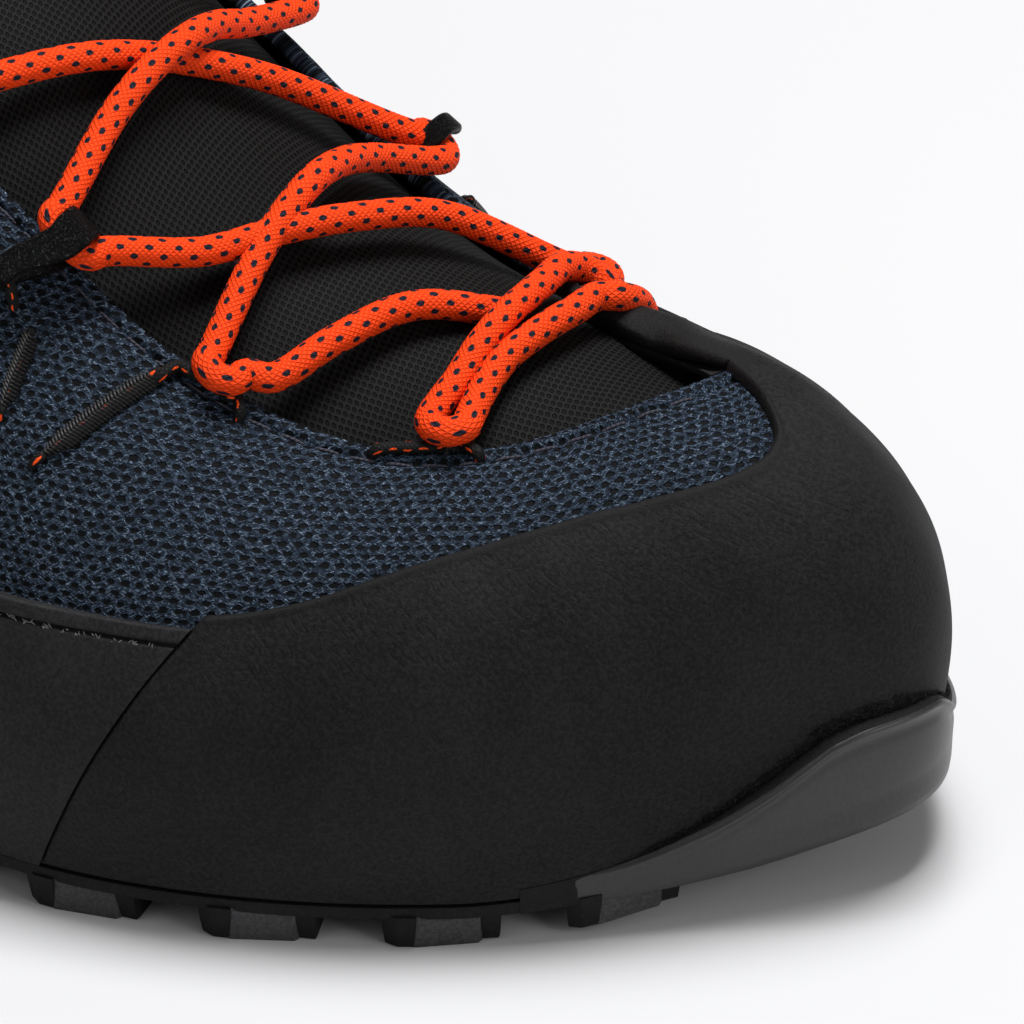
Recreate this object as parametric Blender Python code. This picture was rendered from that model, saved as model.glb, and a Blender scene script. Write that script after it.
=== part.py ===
"""Approach shoe for the right foot, standing empty on its sole.

Metres, +Z up, +X to the toe, +Y to the inner (medial) side. The upper is laid out
round the foot: a station runs from the back of the heel along the outer side to the
toe and back along the inner side, and a level runs from the sole line (0) to the
rim of the collar and throat (1). Every layer is an offset of that one surface.
"""
import math

import bmesh
import bpy
import numpy as np

# Driving sizes
LENGTH = 0.300          # heel to toe along the last
BALL = 0.106            # width that the across shares follow
COLLAR = 0.093          # rim height that the height shares follow, above the sole line
TOE_SPRING = 0.0085     # lift of the sole at the toe tip
HEEL_RISE = 0.0030      # lift of the sole at the back of the heel
SPRING_START = 0.85     # share of the length where the toe lifts
LUG_DEPTH = 0.0042      # tread
SOLE_BASE = 0.0016      # rubber above the tread
MID_FRONT = 0.0009      # midsole at the forefoot
MID_HEEL = 0.0120       # midsole under the heel
FOOTBED = 0.0040        # insole thickness
WALL = 0.0020           # mesh upper
RAND = 0.0011           # rubber rand on the upper
RAND_LIFT = 0.0017      # extra height of the rand on the ridge in front of the throat
TAB = 0.0020            # thickness of the free toe tab
TAB_LENGTH = 0.0195     # reach of the tab over the tongue
BUMPER = 0.0019         # moulded toe cap of the outsole
COUNTER = 0.0012        # heel counter overlay
PAD = 0.0050            # collar padding
TONGUE = 0.0045         # tongue padding
TONGUE_CROWN = 0.0062   # bulge of the tongue between the throat edges
TONGUE_RISE = 0.0190    # height of the tongue above the top of the throat
LACE = 0.0040           # braid diameter
CORD = 0.0014           # cord of the soft lace loops
STRAP = 0.0014          # thickness of the moulded loops
STRAP_WIDTH = 0.0065    # width of the moulded loops
LOOP_REACH = 0.0085     # from the lace to the anchor of a loop
BAR = 0.0010            # raised embroidery that ties a loop down
BAR_WIDTH = 0.0042
BAR_LENGTH = 0.0190
BAR_LEAN = 0.38         # how many sections the bar of a soft loop runs backwards
LUG_PITCH = 0.0220
LUG_LENGTH = 0.0150
LUG_REACH = 0.0170      # depth of an edge lug towards the middle
PULL_WIDTH = 0.0150     # heel pull loop
PULL_RISE = 0.0100
TUCK = 0.0011           # clearance of the soft tongue under the upper
GAP = 0.00035           # clearance between layers
FIT = 0.0003            # clearance between flat seats

SOLE_OUT = GAP + RAND   # the outsole is flush with the rand
BEND = LACE / 2 + CORD / 2 + GAP     # radius of the lace's turn round a cord

# Sections round the shoe. along, top_along: shares of LENGTH; across, top_across,
# swell, shoulder: shares of BALL; top_rise, wall, drop: shares of COLLAR.
SECTION = (
    "along", "across", "top_along", "top_across", "top_rise",
    "wall", "swell", "shoulder", "drop",
)
SECTIONS = (
    # name                along across top_al top_ac  rise  wall swell  shou  drop
    ("heel back",         .020,  .000, .030,  .000, 1.000, .39, .038, .010, .32),
    ("heel outer corner", .047, -.198, .047, -.142,  .980, .37, .038, .019, .30),
    ("heel outer side",   .140, -.302, .140, -.255,  .880, .34, .038, .038, .28),
    ("ankle outer",       .273, -.311, .273, -.283,  .790, .32, .028, .057, .24),
    ("waist outer",       .407, -.340, .413, -.269,  .980, .34, .009, .094, .24),
    ("midfoot outer",     .527, -.425, .500, -.255,  .925, .34, .019, .151, .19),
    ("ball outer rear",   .620, -.500, .600, -.250,  .796, .32, .028, .189, .15),
    ("ball outer",        .693, -.519, .677, -.241,  .613, .30, .028, .189, .11),
    ("toe outer side",    .767, -.472, .753, -.208,  .505, .29, .028, .189, .075),
    ("toe outer corner",  .835, -.382, .810, -.151,  .495, .29, .028, .179, .043),
    ("toe outer front",   .895, -.255, .843, -.075,  .516, .30, .028, .189, .022),
    ("toe outer tip",     .944, -.096, .867, -.009,  .545, .31, .042, .208, .013),
    ("toe tip",           .976,  .045, .883,  .085,  .548, .29, .060, .200, .016),
    ("toe inner front",   .949,  .201, .867,  .158,  .510, .28, .058, .170, .036),
    ("toe inner corner",  .893,  .332, .833,  .220,  .485, .28, .030, .155, .065),
    ("toe inner side",    .810,  .434, .770,  .264,  .495, .30, .019, .142, .097),
    ("ball inner",        .707,  .472, .687,  .292,  .592, .32, .009, .132, .13),
    ("midfoot inner",     .573,  .387, .593,  .297,  .796, .37, .000, .113, .17),
    ("waist inner",       .427,  .292, .493,  .283,  .935, .39, .000, .094, .22),
    ("arch inner",        .287,  .264, .407,  .292,  .985, .39, .019, .057, .26),
    ("ankle inner",       .200,  .274, .280,  .292,  .840, .37, .028, .038, .26),
    ("heel inner side",   .113,  .274, .133,  .255,  .900, .37, .038, .028, .28),
    ("heel inner corner", .043,  .179, .047,  .132,  .980, .37, .038, .019, .30),
)
# How many columns each section takes up to the next one
COLUMNS = (3, 3, 2, 2, 2, 2, 3, 3, 3, 3, 3, 4, 4, 4, 3, 3, 2, 2, 2, 2, 2, 2, 3)
ROUND = len(SECTIONS)

# Upper edges of the overlays: (station, level)
TOE_EDGE = (
    (7.00, .44), (7.80, .535), (8.50, .645), (9.00, .702), (9.50, .732),
    (10.00, .742), (10.50, .738), (11.00, .732), (11.25, .742), (11.50, .780),
    (11.75, .880), (12.00, 1.00), (13.75, 1.00), (14.00, .880), (14.33, .780),
    (14.67, .735), (15.00, .700), (16.00, .540), (17.00, .420),
)
# Seams between toe rand and side rand: station at the sole, station and level at the top
OUTER_SEAM = (7.00, 7.80, .535)
INNER_SEAM = (16.60, 15.90, .550)
TAB_FROM, TAB_TO = 12.00, 13.75
SIDE_EDGE = (
    (15.90, .510), (17.00, .420), (18.50, .330), (20.00, .270), (21.50, .280),
    (23.00, .300), (24.50, .280), (26.00, .250), (27.50, .280), (29.00, .375),
    (30.80, .500),
)
COUNTER_EDGE = ((20.60, .420), (21.40, .540), (23.00, .640), (24.60, .540), (25.40, .420))
BUMPER_EDGE = (
    (10.00, .020), (10.50, .040), (11.00, .100), (11.33, .135), (11.75, .145),
    (12.00, .142), (12.50, .125), (13.25, .095), (13.75, .075), (14.33, .050), (15.00, .020),
)

# Lace loops: (name, side, share of LENGTH, kind, inward shift in lace diameters)
LOOPS = (
    ("outer_1", -1, .812, "cord", .15),
    ("outer_2", -1, .712, "cord", .05),
    ("outer_3", -1, .650, "strap", .10),
    ("outer_4", -1, .570, "strap", .10),
    ("outer_5", -1, .500, "strap", .10),
    ("outer_6", -1, .437, "strap", .10),
    ("inner_1", 1, .792, "cord", .30),
    ("inner_2", 1, .697, "strap", .40),
    ("inner_3", 1, .622, "strap", .40),
    ("inner_4", 1, .552, "strap", .20),
    ("inner_5", 1, .480, "strap", .10),
)


def smooth(x):
    """Ease from 0 to 1."""
    x = np.clip(x, 0.0, 1.0)
    return x * x * (3 - 2 * x)


def round_spline(values):
    """Smooth closed curve through one value a section, with a continuous second derivative."""
    v = np.array(values, float)
    n = len(v)
    system = 4 * np.eye(n) + np.roll(np.eye(n), 1, 0) + np.roll(np.eye(n), -1, 0)
    slope = np.linalg.solve(system, 3 * (np.roll(v, -1) - np.roll(v, 1)))

    def value(u):
        u = np.asarray(u, float) % n
        i = np.floor(u).astype(int) % n
        t = u - np.floor(u)
        j = (i + 1) % n
        a = (1 + 2 * t) * (1 - t) ** 2 * v[i] + t * (1 - t) ** 2 * slope[i]
        return a + t * t * (3 - 2 * t) * v[j] + t * t * (t - 1) * slope[j]

    return value


CURVE = {key: round_spline([row[k + 1] for row in SECTIONS]) for k, key in enumerate(SECTION)}


def sole_lift(x):
    """Height of the tread above the floor: flat under heel and ball, lifted at both ends."""
    share = np.asarray(x, float) / LENGTH
    toe = np.clip((share - SPRING_START) / (0.99 - SPRING_START), 0, 1.2)
    heel = np.clip((0.10 - share) / 0.10, 0, 1)
    return TOE_SPRING * toe ** 1.5 + HEEL_RISE * heel ** 2


def tread_top(x):
    """Underside of the outsole plate."""
    return sole_lift(x) + LUG_DEPTH


def outsole_top(x):
    """Upper face of the outsole plate."""
    return tread_top(x) + SOLE_BASE


def midsole_top(x):
    """Upper face of the midsole wedge."""
    share = np.asarray(x, float) / LENGTH
    wedge = MID_FRONT + (MID_HEEL - MID_FRONT) * smooth((0.62 - share) / 0.36)
    return outsole_top(x) + FIT + wedge


def base(u):
    """Point and outward direction of the sole line at a station."""
    x = CURVE["along"](u) * LENGTH
    y = CURVE["across"](u) * BALL
    d = 0.001
    tx = (CURVE["along"](u + d) - CURVE["along"](u - d)) * LENGTH
    ty = (CURVE["across"](u + d) - CURVE["across"](u - d)) * BALL
    n = np.hypot(tx, ty)
    return x, y, ty / n, -tx / n


def upper(u, t):
    """Outer surface of the mesh upper: one curve from the sole line to the rim."""
    u, t = np.broadcast_arrays(np.asarray(u, float), np.asarray(t, float))
    x, y, nx, ny = base(u)
    floor = midsole_top(x) + FIT
    low = np.stack([x, y, floor], -1)
    sole_line = LUG_DEPTH + SOLE_BASE + MID_FRONT + 2 * FIT
    rim = np.stack([
        CURVE["top_along"](u) * LENGTH,
        CURVE["top_across"](u) * BALL,
        sole_line + CURVE["top_rise"](u) * COLLAR,
    ], -1)
    side = low - rim
    side[..., 2] = 0
    side /= np.maximum(np.linalg.norm(side, axis=-1, keepdims=True), 1e-9)
    out = np.stack([nx, ny, 0 * nx], -1)
    rise = np.array([0, 0, 1.0])
    first = low + rise * (CURVE["wall"](u) * COLLAR)[..., None]
    first = first + out * (CURVE["swell"](u) * BALL)[..., None]
    second = rim + side * (CURVE["shoulder"](u) * BALL)[..., None]
    second = second - rise * (CURVE["drop"](u) * COLLAR)[..., None]
    t = t[..., None]
    return (1 - t) ** 3 * low + 3 * t * (1 - t) ** 2 * first + 3 * t * t * (1 - t) * second + t ** 3 * rim


def normal(u, t):
    """Outward unit normal of the upper, level at the sole line so that layers end flush."""
    u, t = np.broadcast_arrays(np.asarray(u, float), np.asarray(t, float))
    d = 0.002
    n = np.cross(upper(u + d, t) - upper(u - d, t), upper(u, t + d) - upper(u, t - d))
    n[..., 2] *= smooth(t / 0.12)
    return n / np.linalg.norm(n, axis=-1, keepdims=True)


def skin(u, t, off):
    """Point of the layer that lies off outside the upper."""
    return upper(u, t) + normal(u, t) * np.asarray(off, float)[..., None]


def columns(start, stop):
    """Stations from start to stop that every layer shares, so that their facets agree."""
    marks = []
    for lap in range(-1, 3):
        for i, count in enumerate(COLUMNS):
            marks += [lap * ROUND + i + k / count for k in range(count)]
    inner = [m for m in marks if start + 0.12 < m < stop - 0.12]
    return np.array([start, *inner, stop])


def lookup(table, u):
    """Level of an overlay's edge at a station."""
    return np.interp(u, [row[0] for row in table], [row[1] for row in table])


def add_object(name, points, faces, color, roughness=0.7, metallic=0.0):
    """Make one object from points and faces, with its own material and outward faces."""
    mesh = bpy.data.meshes.new(name)
    mesh.from_pydata([tuple(p) for p in points], [], [tuple(f) for f in faces])
    bm = bmesh.new()
    bm.from_mesh(mesh)
    bmesh.ops.remove_doubles(bm, verts=bm.verts, dist=1e-6)
    bmesh.ops.triangulate(bm, faces=bm.faces)
    bmesh.ops.recalc_face_normals(bm, faces=bm.faces)
    if bm.calc_volume(signed=True) < 0:
        bmesh.ops.reverse_faces(bm, faces=bm.faces)
    bm.to_mesh(mesh)
    bm.free()
    mesh.shade_smooth()
    mesh.set_sharp_from_angle(angle=math.radians(35))
    obj = bpy.data.objects.new(name, mesh)
    bpy.context.collection.objects.link(obj)
    material = bpy.data.materials.new(name)
    material.use_nodes = True
    shader = material.node_tree.nodes["Principled BSDF"]
    shader.inputs["Base Color"].default_value = (*color, 1)
    shader.inputs["Roughness"].default_value = roughness
    shader.inputs["Metallic"].default_value = metallic
    mesh.materials.append(material)
    return obj


def close_sheet(outer, inner, wrap=False, keep=None):
    """Close a grid of points and its backing into one solid.

    outer and inner are grids of the same shape; keep marks the cells that exist.
    """
    nu, nt = outer.shape[:2]
    cells = nu if wrap else nu - 1
    if keep is None:
        keep = np.ones((cells, nt - 1), bool)
    points = np.concatenate([outer.reshape(-1, 3), inner.reshape(-1, 3)])
    shift = nu * nt
    front = []
    for i in range(cells):
        for j in range(nt - 1):
            if keep[i, j]:
                k = (i + 1) % nu
                front.append((i * nt + j, k * nt + j, k * nt + j + 1, i * nt + j + 1))
    edges = set()
    for face in front:
        edges.update(zip(face, face[1:] + face[:1]))
    faces = list(front)
    faces += [tuple(shift + v for v in reversed(face)) for face in front]
    faces += [(b, a, a + shift, b + shift) for a, b in edges if (b, a) not in edges]
    used = sorted({v for face in faces for v in face})
    place = {v: k for k, v in enumerate(used)}
    return points[used], sorted(tuple(place[v] for v in face) for face in faces)


def union(first, others, name):
    """Join overlapping solids into the first one."""
    for k, other in enumerate(others):
        modifier = first.modifiers.new(f"{name} {k}", "BOOLEAN")
        modifier.operation = "UNION"
        modifier.solver = "EXACT"
        modifier.object = other
        other.hide_render = True
        other.display_type = "WIRE"


# Outline of the flat layers under the foot

def outline_station(x, side):
    """Station on one side whose sole line lies at x."""
    low, high = (0.0, 12.1) if side < 0 else (12.1, float(ROUND))
    for _ in range(50):
        mid = (low + high) / 2
        ahead = CURVE["along"](mid) * LENGTH > x
        if ahead == (side < 0):
            high = mid
        else:
            low = mid
    return (low + high) / 2


def sole_stations():
    """Shares of the length for the cross cuts of the flat layers, denser at the ends."""
    ends = [CURVE["along"](0.0) * LENGTH, CURVE["along"](12.1) * LENGTH]
    k = np.linspace(0, math.pi, 33)
    share = (1 - np.cos(k)) / 2
    return (ends[0] + (ends[1] - ends[0]) * share)[1:-1]


def plate(name, low, high, grow, color, roughness):
    """Flat layer between two height functions, grow(u) outside the sole line."""
    def edge(u):
        x, y, nx, ny = base(u)
        return float(x + nx * grow(u)), float(y + ny * grow(u)), float(x)

    sides = [[edge(outline_station(x, side)) for x in sole_stations()] for side in (-1, 1)]
    half = len(sides[0])
    ring = [edge(0.0)] + sides[0] + [edge(12.1)] + sides[1][::-1]
    count = len(ring)
    points = [(x, y, float(low(at))) for x, y, at in ring]
    points += [(x, y, float(high(at))) for x, y, at in ring]
    faces = []
    for k in range(count):
        n = (k + 1) % count
        faces.append((k, n, count + n, count + k))
    for k in range(half + 1):
        a, b = k, k + 1
        c, d = (count - k - 1) % count, (count - k) % count
        bottom = [a, b, c, d]
        bottom = [v for i, v in enumerate(bottom) if v not in bottom[:i]]
        faces.append(tuple(reversed(bottom)))
        faces.append(tuple(count + v for v in bottom))
    return add_object(name, points, faces, color, roughness)


# Outsole: plate, edge lugs, centre lugs and the moulded toe cap

def sole_grow(u):
    """The plate is flush with the rand and reaches into the toe cap in front."""
    cap = smooth((u - 9.3) / 1.6) * smooth((15.7 - u) / 1.6)
    return SOLE_OUT + (GAP + 0.5 * BUMPER) * cap


def edge_track(side):
    """Sole line of one side as a dense track with its running length."""
    u = np.linspace(0.0, 11.2, 600) if side < 0 else np.linspace(float(ROUND), 13.6, 600)
    x, y, nx, ny = base(u)
    run = np.concatenate([[0], np.cumsum(np.hypot(np.diff(x), np.diff(y)))])
    return u, run


def lug_block(corners):
    """Tapered lug between the floor and the plate, from four plan corners."""
    cx = sum(p[0] for p in corners) / 4
    cy = sum(p[1] for p in corners) / 4
    low = [(cx + (x - cx) * 0.86, cy + (y - cy) * 0.86) for x, y in corners]
    points = [(x, y, float(sole_lift(x))) for x, y in low]
    points += [(x, y, float(tread_top(x)) + 0.4 * SOLE_BASE) for x, y in corners]
    faces = [(3, 2, 1, 0), (4, 5, 6, 7)]
    faces += [(k, (k + 1) % 4, 4 + (k + 1) % 4, 4 + k) for k in range(4)]
    return points, faces


def edge_lugs():
    """Lugs that follow the sole line on both sides."""
    blocks = []
    for side in (-1, 1):
        u, run = edge_track(side)
        count = int((run[-1] - LUG_LENGTH) / LUG_PITCH)
        for k in range(count + 1):
            middle = LUG_LENGTH * 0.8 + k * LUG_PITCH
            share = CURVE["along"](np.interp(middle, run, u))
            if 0.36 < share < 0.50:
                continue
            at = base(np.interp(middle, run, u))
            facing = base(outline_station(at[0], -side))[1]
            reach = min(LUG_REACH, 0.40 * abs(facing - at[1]))
            corners = []
            for along, inward in ((-.5, 0), (.5, 0), (.33, 1), (-.33, 1)):
                v = np.interp(middle + along * LUG_LENGTH, run, u)
                x, y, nx, ny = base(v)
                g = sole_grow(v) + 0.0004 - inward * reach
                corners.append((float(x + nx * g), float(y + ny * g)))
            blocks.append(lug_block(corners if side < 0 else corners[::-1]))
    return blocks


def centre_lugs():
    """Square lugs in rows between the edge lugs."""
    blocks = []
    size = 0.5 * LUG_LENGTH
    for k in range(int(LENGTH / LUG_PITCH) + 1):
        x = 0.13 * LENGTH + k * LUG_PITCH
        if x > 0.84 * LENGTH or 0.33 < x / LENGTH < 0.52:
            continue
        sides = [base(outline_station(x, side))[1] for side in (-1, 1)]
        low = sides[0] + LUG_REACH + 0.2 * LUG_LENGTH + size / 2
        high = sides[1] - LUG_REACH - 0.2 * LUG_LENGTH - size / 2
        room = high - low
        if room < 0:
            continue
        rows = max(1, int(room / (1.35 * LUG_LENGTH)) + 1)
        for r in range(rows):
            y = (low + high) / 2 if rows == 1 else low + room * r / (rows - 1)
            ahead = x + (0.2 * LUG_PITCH if r % 2 else 0)
            corners = [(ahead + a * size, y + b * size) for a, b in
                       ((-.6, -.7), (.6, -.5), (.6, .5), (-.6, .7))]
            blocks.append(lug_block(corners))
    return blocks


def join_blocks(name, blocks, color):
    """Separate blocks as one object."""
    points = []
    faces = []
    for block_points, block_faces in blocks:
        faces += [tuple(len(points) + v for v in face) for face in block_faces]
        points += block_points
    return add_object(name, points, faces, color)


def toe_cap():
    """Moulded cap that wraps the toe, from the tread to its raised lip."""
    u = columns(BUMPER_EDGE[0][0], BUMPER_EDGE[-1][0])
    top = lookup(BUMPER_EDGE, u)
    inner_off = SOLE_OUT + FIT
    end = smooth((u - u[0]) / 1.1) * smooth((u[-1] - u) / 1.1)
    thick = 0.35 * BUMPER + 0.65 * BUMPER * end
    x, y, nx, ny = base(u)
    outer, inner = [], []
    floor = tread_top(x) - 0.0006 * end
    for off, grid in ((inner_off + thick, outer), (inner_off + 0 * thick, inner)):
        grid.append(np.stack([x + nx * off, y + ny * off, floor], -1))
    for share, bulge in ((0.0, 1.0), (0.35, 1.05), (0.7, 1.0), (0.9, 0.9), (1.0, 0.45)):
        grid_u = skin(u, top * share, inner_off + thick * bulge)
        outer.append(grid_u)
        inner.append(skin(u, top * share, inner_off + 0 * thick))
    return close_sheet(np.stack(outer, 1), np.stack(inner, 1))


def build_outsole():
    """Rubber outsole as one piece."""
    rubber = (0.018, 0.018, 0.020)
    sole = plate("outsole", tread_top, outsole_top, sole_grow, rubber, 0.5)
    lugs = join_blocks("outsole lugs", edge_lugs() + centre_lugs(), rubber)
    points, faces = toe_cap()
    cap = add_object("outsole cap", points, faces, rubber)
    union(sole, (lugs, cap), "tread")
    return sole


# Rand, counter and upper

LEVELS = np.array([0, .10, .21, .33, .46, .59, .71, .81, .90, 1.0])


def build_upper():
    """Hollow mesh upper, open at the collar, the throat and underneath."""
    u = columns(0.0, float(ROUND))[:-1]
    uu, tt = np.meshgrid(u, LEVELS, indexing="ij")
    points, faces = close_sheet(skin(uu, tt, 0 * uu), skin(uu, tt, 0 * uu - WALL), wrap=True)
    return add_object("upper", points, faces, (0.030, 0.045, 0.085), 0.9)


def ridge(u, t):
    """Share of the extra rand height on the ridge that leads to the tab."""
    across = smooth((u - 11.8) / 0.7) * smooth((14.0 - u) / 0.8)
    return across * smooth((t - 0.55) / 0.45)


def tab_points(u, s, depth):
    """Free tab: from the rim at station u back over the tongue, depth below its face."""
    root = skin(u, 1 + 0 * u, GAP + RAND + RAND_LIFT * ridge(u, 1 + 0 * u))
    share = (u - TAB_FROM) / (TAB_TO - TAB_FROM)
    middle = skin(np.array([12.85]), np.array([1.0]), np.array([GAP + RAND + RAND_LIFT]))[0]
    width = 0.038 * BALL * (1 - 0.25 * s)
    side = (2 * share - 1) * -1
    round_end = np.sqrt(np.clip(1 - 0.55 * side * side, 0, 1))
    tip = np.stack([
        middle[0] - TAB_LENGTH * s * (0.35 + 0.65 * round_end),
        middle[1] - 0.010 * BALL * s - side * width,
        middle[2] + 0.13 * TAB_LENGTH * s - 0.0016 * side * side,
    ], -1)
    blend = smooth(s / 0.55)[..., None]
    straight = root + (np.array([-1.0, -0.12, 0.13]) * TAB_LENGTH) * s[..., None]
    point = straight * (1 - blend) + tip * blend
    point[..., 2] += 0.0008 * smooth(s * 3) - depth
    return point


def build_toe_rand():
    """Rubber toe rand with its free tab over the front of the tongue."""
    steps = 8
    tab_steps = 5
    ends = 3
    middle = columns(8.0, 15.67)
    edge = lookup(TOE_EDGE, middle)
    share = np.linspace(0, 1, steps + 1)
    uu, tt = [], []
    for seam, near, order in ((OUTER_SEAM, middle[0], 1), (INNER_SEAM, middle[-1], -1)):
        if order < 0:
            uu += [u + 0 * share for u in middle]
            tt += [top * share for top in edge]
        line, level = seam_line(seam, seam[2], share)
        for k in range(ends)[::order]:
            u = line + (near - line) * k / ends
            uu.append(u)
            tt.append(level * (lookup(TOE_EDGE, u[-1]) / seam[2]))
    uu, tt = np.array(uu), np.array(tt)
    face_off = GAP + RAND + RAND_LIFT * ridge(uu, tt)
    outer = skin(uu, tt, face_off)
    inner = skin(uu, tt, 0 * uu + GAP)
    station = uu[:, -1]
    reach = np.linspace(0, 1, tab_steps + 1)[1:]
    tab_u, tab_s = np.meshgrid(station, reach, indexing="ij")
    inside = (tab_u > TAB_FROM - 1e-6) & (tab_u < TAB_TO + 1e-6)
    safe = np.clip(tab_u, TAB_FROM, TAB_TO)
    outer = np.concatenate([outer, tab_points(safe, tab_s, 0.0)], 1)
    inner = np.concatenate([inner, tab_points(safe, tab_s, TAB)], 1)
    keep = np.ones((outer.shape[0] - 1, outer.shape[1] - 1), bool)
    keep[:, steps:] = inside[:-1] & inside[1:]
    points, faces = close_sheet(outer, inner, keep=keep)
    return add_object("toe_rand", points, faces, (0.016, 0.016, 0.018), 0.75)


def seam_line(seam, top, share):
    """Stations and levels along a slanted seam, up to the level top."""
    level = share * top
    return seam[0] + (seam[1] - seam[0]) * level / seam[2], level


def band(name, start, stop, table, floor, thick, color, steps, seams=()):
    """Overlay band on the upper between a lower level and an edge table.

    seams: (end column, seam, shift) for ends that follow a slanted seam.
    """
    u = columns(start, stop)
    share = np.linspace(0, 1, steps + 1)
    top = lookup(table, u)
    bottom = lookup(floor, u) if floor else 0 * u
    uu = np.repeat(u[:, None], steps + 1, 1)
    tt = bottom[:, None] + (top - bottom)[:, None] * share
    for end, seam, shift in seams:
        step = 1 if end == 0 else -1
        line, level = seam_line(seam, float(lookup(table, seam[1] + shift)), share)
        uu[end], tt[end] = line + shift, level
        for k in (1, 2):
            uu[end + k * step] = uu[end] + (uu[end + 3 * step] - uu[end]) * k / 3
            tt[end + k * step] = share * lookup(table, uu[end + k * step][-1])
    points, faces = close_sheet(skin(uu, tt, 0 * uu + GAP + thick), skin(uu, tt, 0 * uu + GAP))
    return add_object(name, points, faces, color, 0.75)


def build_side_rand():
    """Rubber side rand, from the toe rand's inner end round the heel to its outer end."""
    shift = 0.035
    seams = ((0, INNER_SEAM, shift), (-1, OUTER_SEAM, ROUND - shift))
    return band("side_rand", 16.0, ROUND + 7.67, SIDE_EDGE, None, RAND, (0.016, 0.016, 0.018), 4, seams)


def build_counter():
    """Heel counter above the side rand."""
    floor = [(u, level + 0.015) for u, level in SIDE_EDGE]
    return band("heel_counter", 20.67, 25.33, COUNTER_EDGE, floor, COUNTER, (0.03, 0.03, 0.033), 4)


def build_collar():
    """Padding inside the collar, from one front corner round the heel to the other."""
    u = columns(19.1, ROUND + 3.9)
    levels = np.array([.60, .68, .76, .84, .92, 1.0])
    uu, tt = np.meshgrid(u, levels, indexing="ij")
    seat = WALL + 2 * GAP
    swell = np.sin(np.pi * (levels - levels[0]) / (levels[-1] - levels[0]) * 0.86 + 0.10)
    ends = 0.45 + 0.55 * smooth((u - u[0]) / 0.8) * smooth((u[-1] - u) / 0.8)
    pad = PAD * (0.30 + 0.70 * swell)[None, :] * ends[:, None]
    points, faces = close_sheet(skin(uu, tt, 0 * uu - seat), skin(uu, tt, -seat - pad))
    return add_object("collar_pad", points, faces, (0.02, 0.02, 0.024), 0.95)


# Tongue

def rim_station(x, side):
    """Station on one side of the throat whose rim lies at x."""
    low, high = (4.0, 12.0) if side < 0 else (12.5, 19.0)
    for _ in range(50):
        mid = (low + high) / 2
        ahead = CURVE["top_along"](mid) * LENGTH > x
        if ahead == (side < 0):
            high = mid
        else:
            low = mid
    return (low + high) / 2


def tongue_section(x):
    """Control points of the tongue's face between the throat edges at x."""
    seat = -(WALL + TUCK)
    ends = []
    for side in (-1, 1):
        u = rim_station(x, side)
        rim = skin(np.array([u]), np.array([1.0]), np.array([seat]))[0]
        low = skin(np.array([u]), np.array([.95]), np.array([seat]))[0]
        along = rim - low
        along[2] = min(along[2], 0.62 * abs(along[1]))
        ends.append((u, rim, along / np.linalg.norm(along)))
    (ua, a, da), (ub, b, db) = ends
    span = np.linalg.norm(b - a)
    crown = TONGUE_CROWN * (1 - 0.45 * smooth((0.64 - x / LENGTH) / 0.2))
    lift = np.array([0, 0, 4 / 3 * crown * smooth(span / (0.45 * BALL))])
    return ua, ub, (a, a + da * 0.33 * span + lift, b + db * 0.33 * span + lift, b)


def bezier(control, s):
    """Point of a cubic at s."""
    a, b, c, d = control
    return a * (1 - s) ** 3 + b * 3 * s * (1 - s) ** 2 + c * 3 * s * s * (1 - s) + d * s ** 3


ARC = np.linspace(0, 1, 9)


def tongue_row(x):
    """Face of the tongue across the shoe at x, tucked under both throat edges."""
    ua, ub, control = tongue_section(x)
    seat = np.array([-(WALL + TUCK)])
    row = [skin(np.array([ua]), np.array([t]), seat)[0] for t in (.84, .92)]
    row += [bezier(control, s) for s in ARC]
    row += [skin(np.array([ub]), np.array([t]), seat)[0] for t in (.92, .84)]
    return np.array(row)


THROAT = np.array([.855, .835, .805, .775, .742, .708, .672, .635, .598, .56, .52, .48, .44])
THROAT_TOP = THROAT[-1]


def tongue_rows():
    """Face of the tongue from under the toe rand to its free top."""
    count = len(ARC) + 4
    front = np.linspace(11.35, 13.30, count)
    seat = -(WALL + TUCK)
    rows = [skin(front, 0 * front + .86, 0 * front + seat)]
    rows += [tongue_row(share * LENGTH) for share in THROAT]
    last = rows[-1]
    centre = last.mean(0)
    for back, rise, width in ((.30, .42, .92), (.62, .80, .87), (.82, 1.0, .76)):
        row = last.copy()
        row[:, 0] -= 1.05 * back * TONGUE_RISE
        row[:, 1] = centre[1] + (row[:, 1] - centre[1]) * width
        row[:, 2] = centre[2] + (row[:, 2] - centre[2]) * (1 - 0.35 * rise) + rise * TONGUE_RISE
        for k, keep in ((0, .25), (1, .6), (-1, .25), (-2, .6)):
            inner = row[2] if k >= 0 else row[-3]
            row[k] = inner + (row[k] - inner) * keep
        rows.append(row)
    return np.array(rows)


def build_tongue():
    """Padded tongue that bulges between the throat edges."""
    face = tongue_rows()
    across = np.gradient(face, axis=1)
    along = np.gradient(face, axis=0)
    n = np.cross(across, along)
    n /= np.linalg.norm(n, axis=-1, keepdims=True)
    if n[len(n) // 2, n.shape[1] // 2, 2] < 0:
        n = -n
    n[0] = n[1]
    n[:, 0] = n[:, 1]
    n[:, -1] = n[:, -2]
    k = np.linspace(-1, 1, face.shape[1])
    thick = 0.0013 + (TONGUE - 0.0013) * smooth(1.25 * (1 - np.abs(k)))
    inner = face - n * thick[None, :, None]
    points, faces = close_sheet(face, inner)
    return add_object("tongue", points, faces, (0.012, 0.012, 0.014), 0.95)


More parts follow.
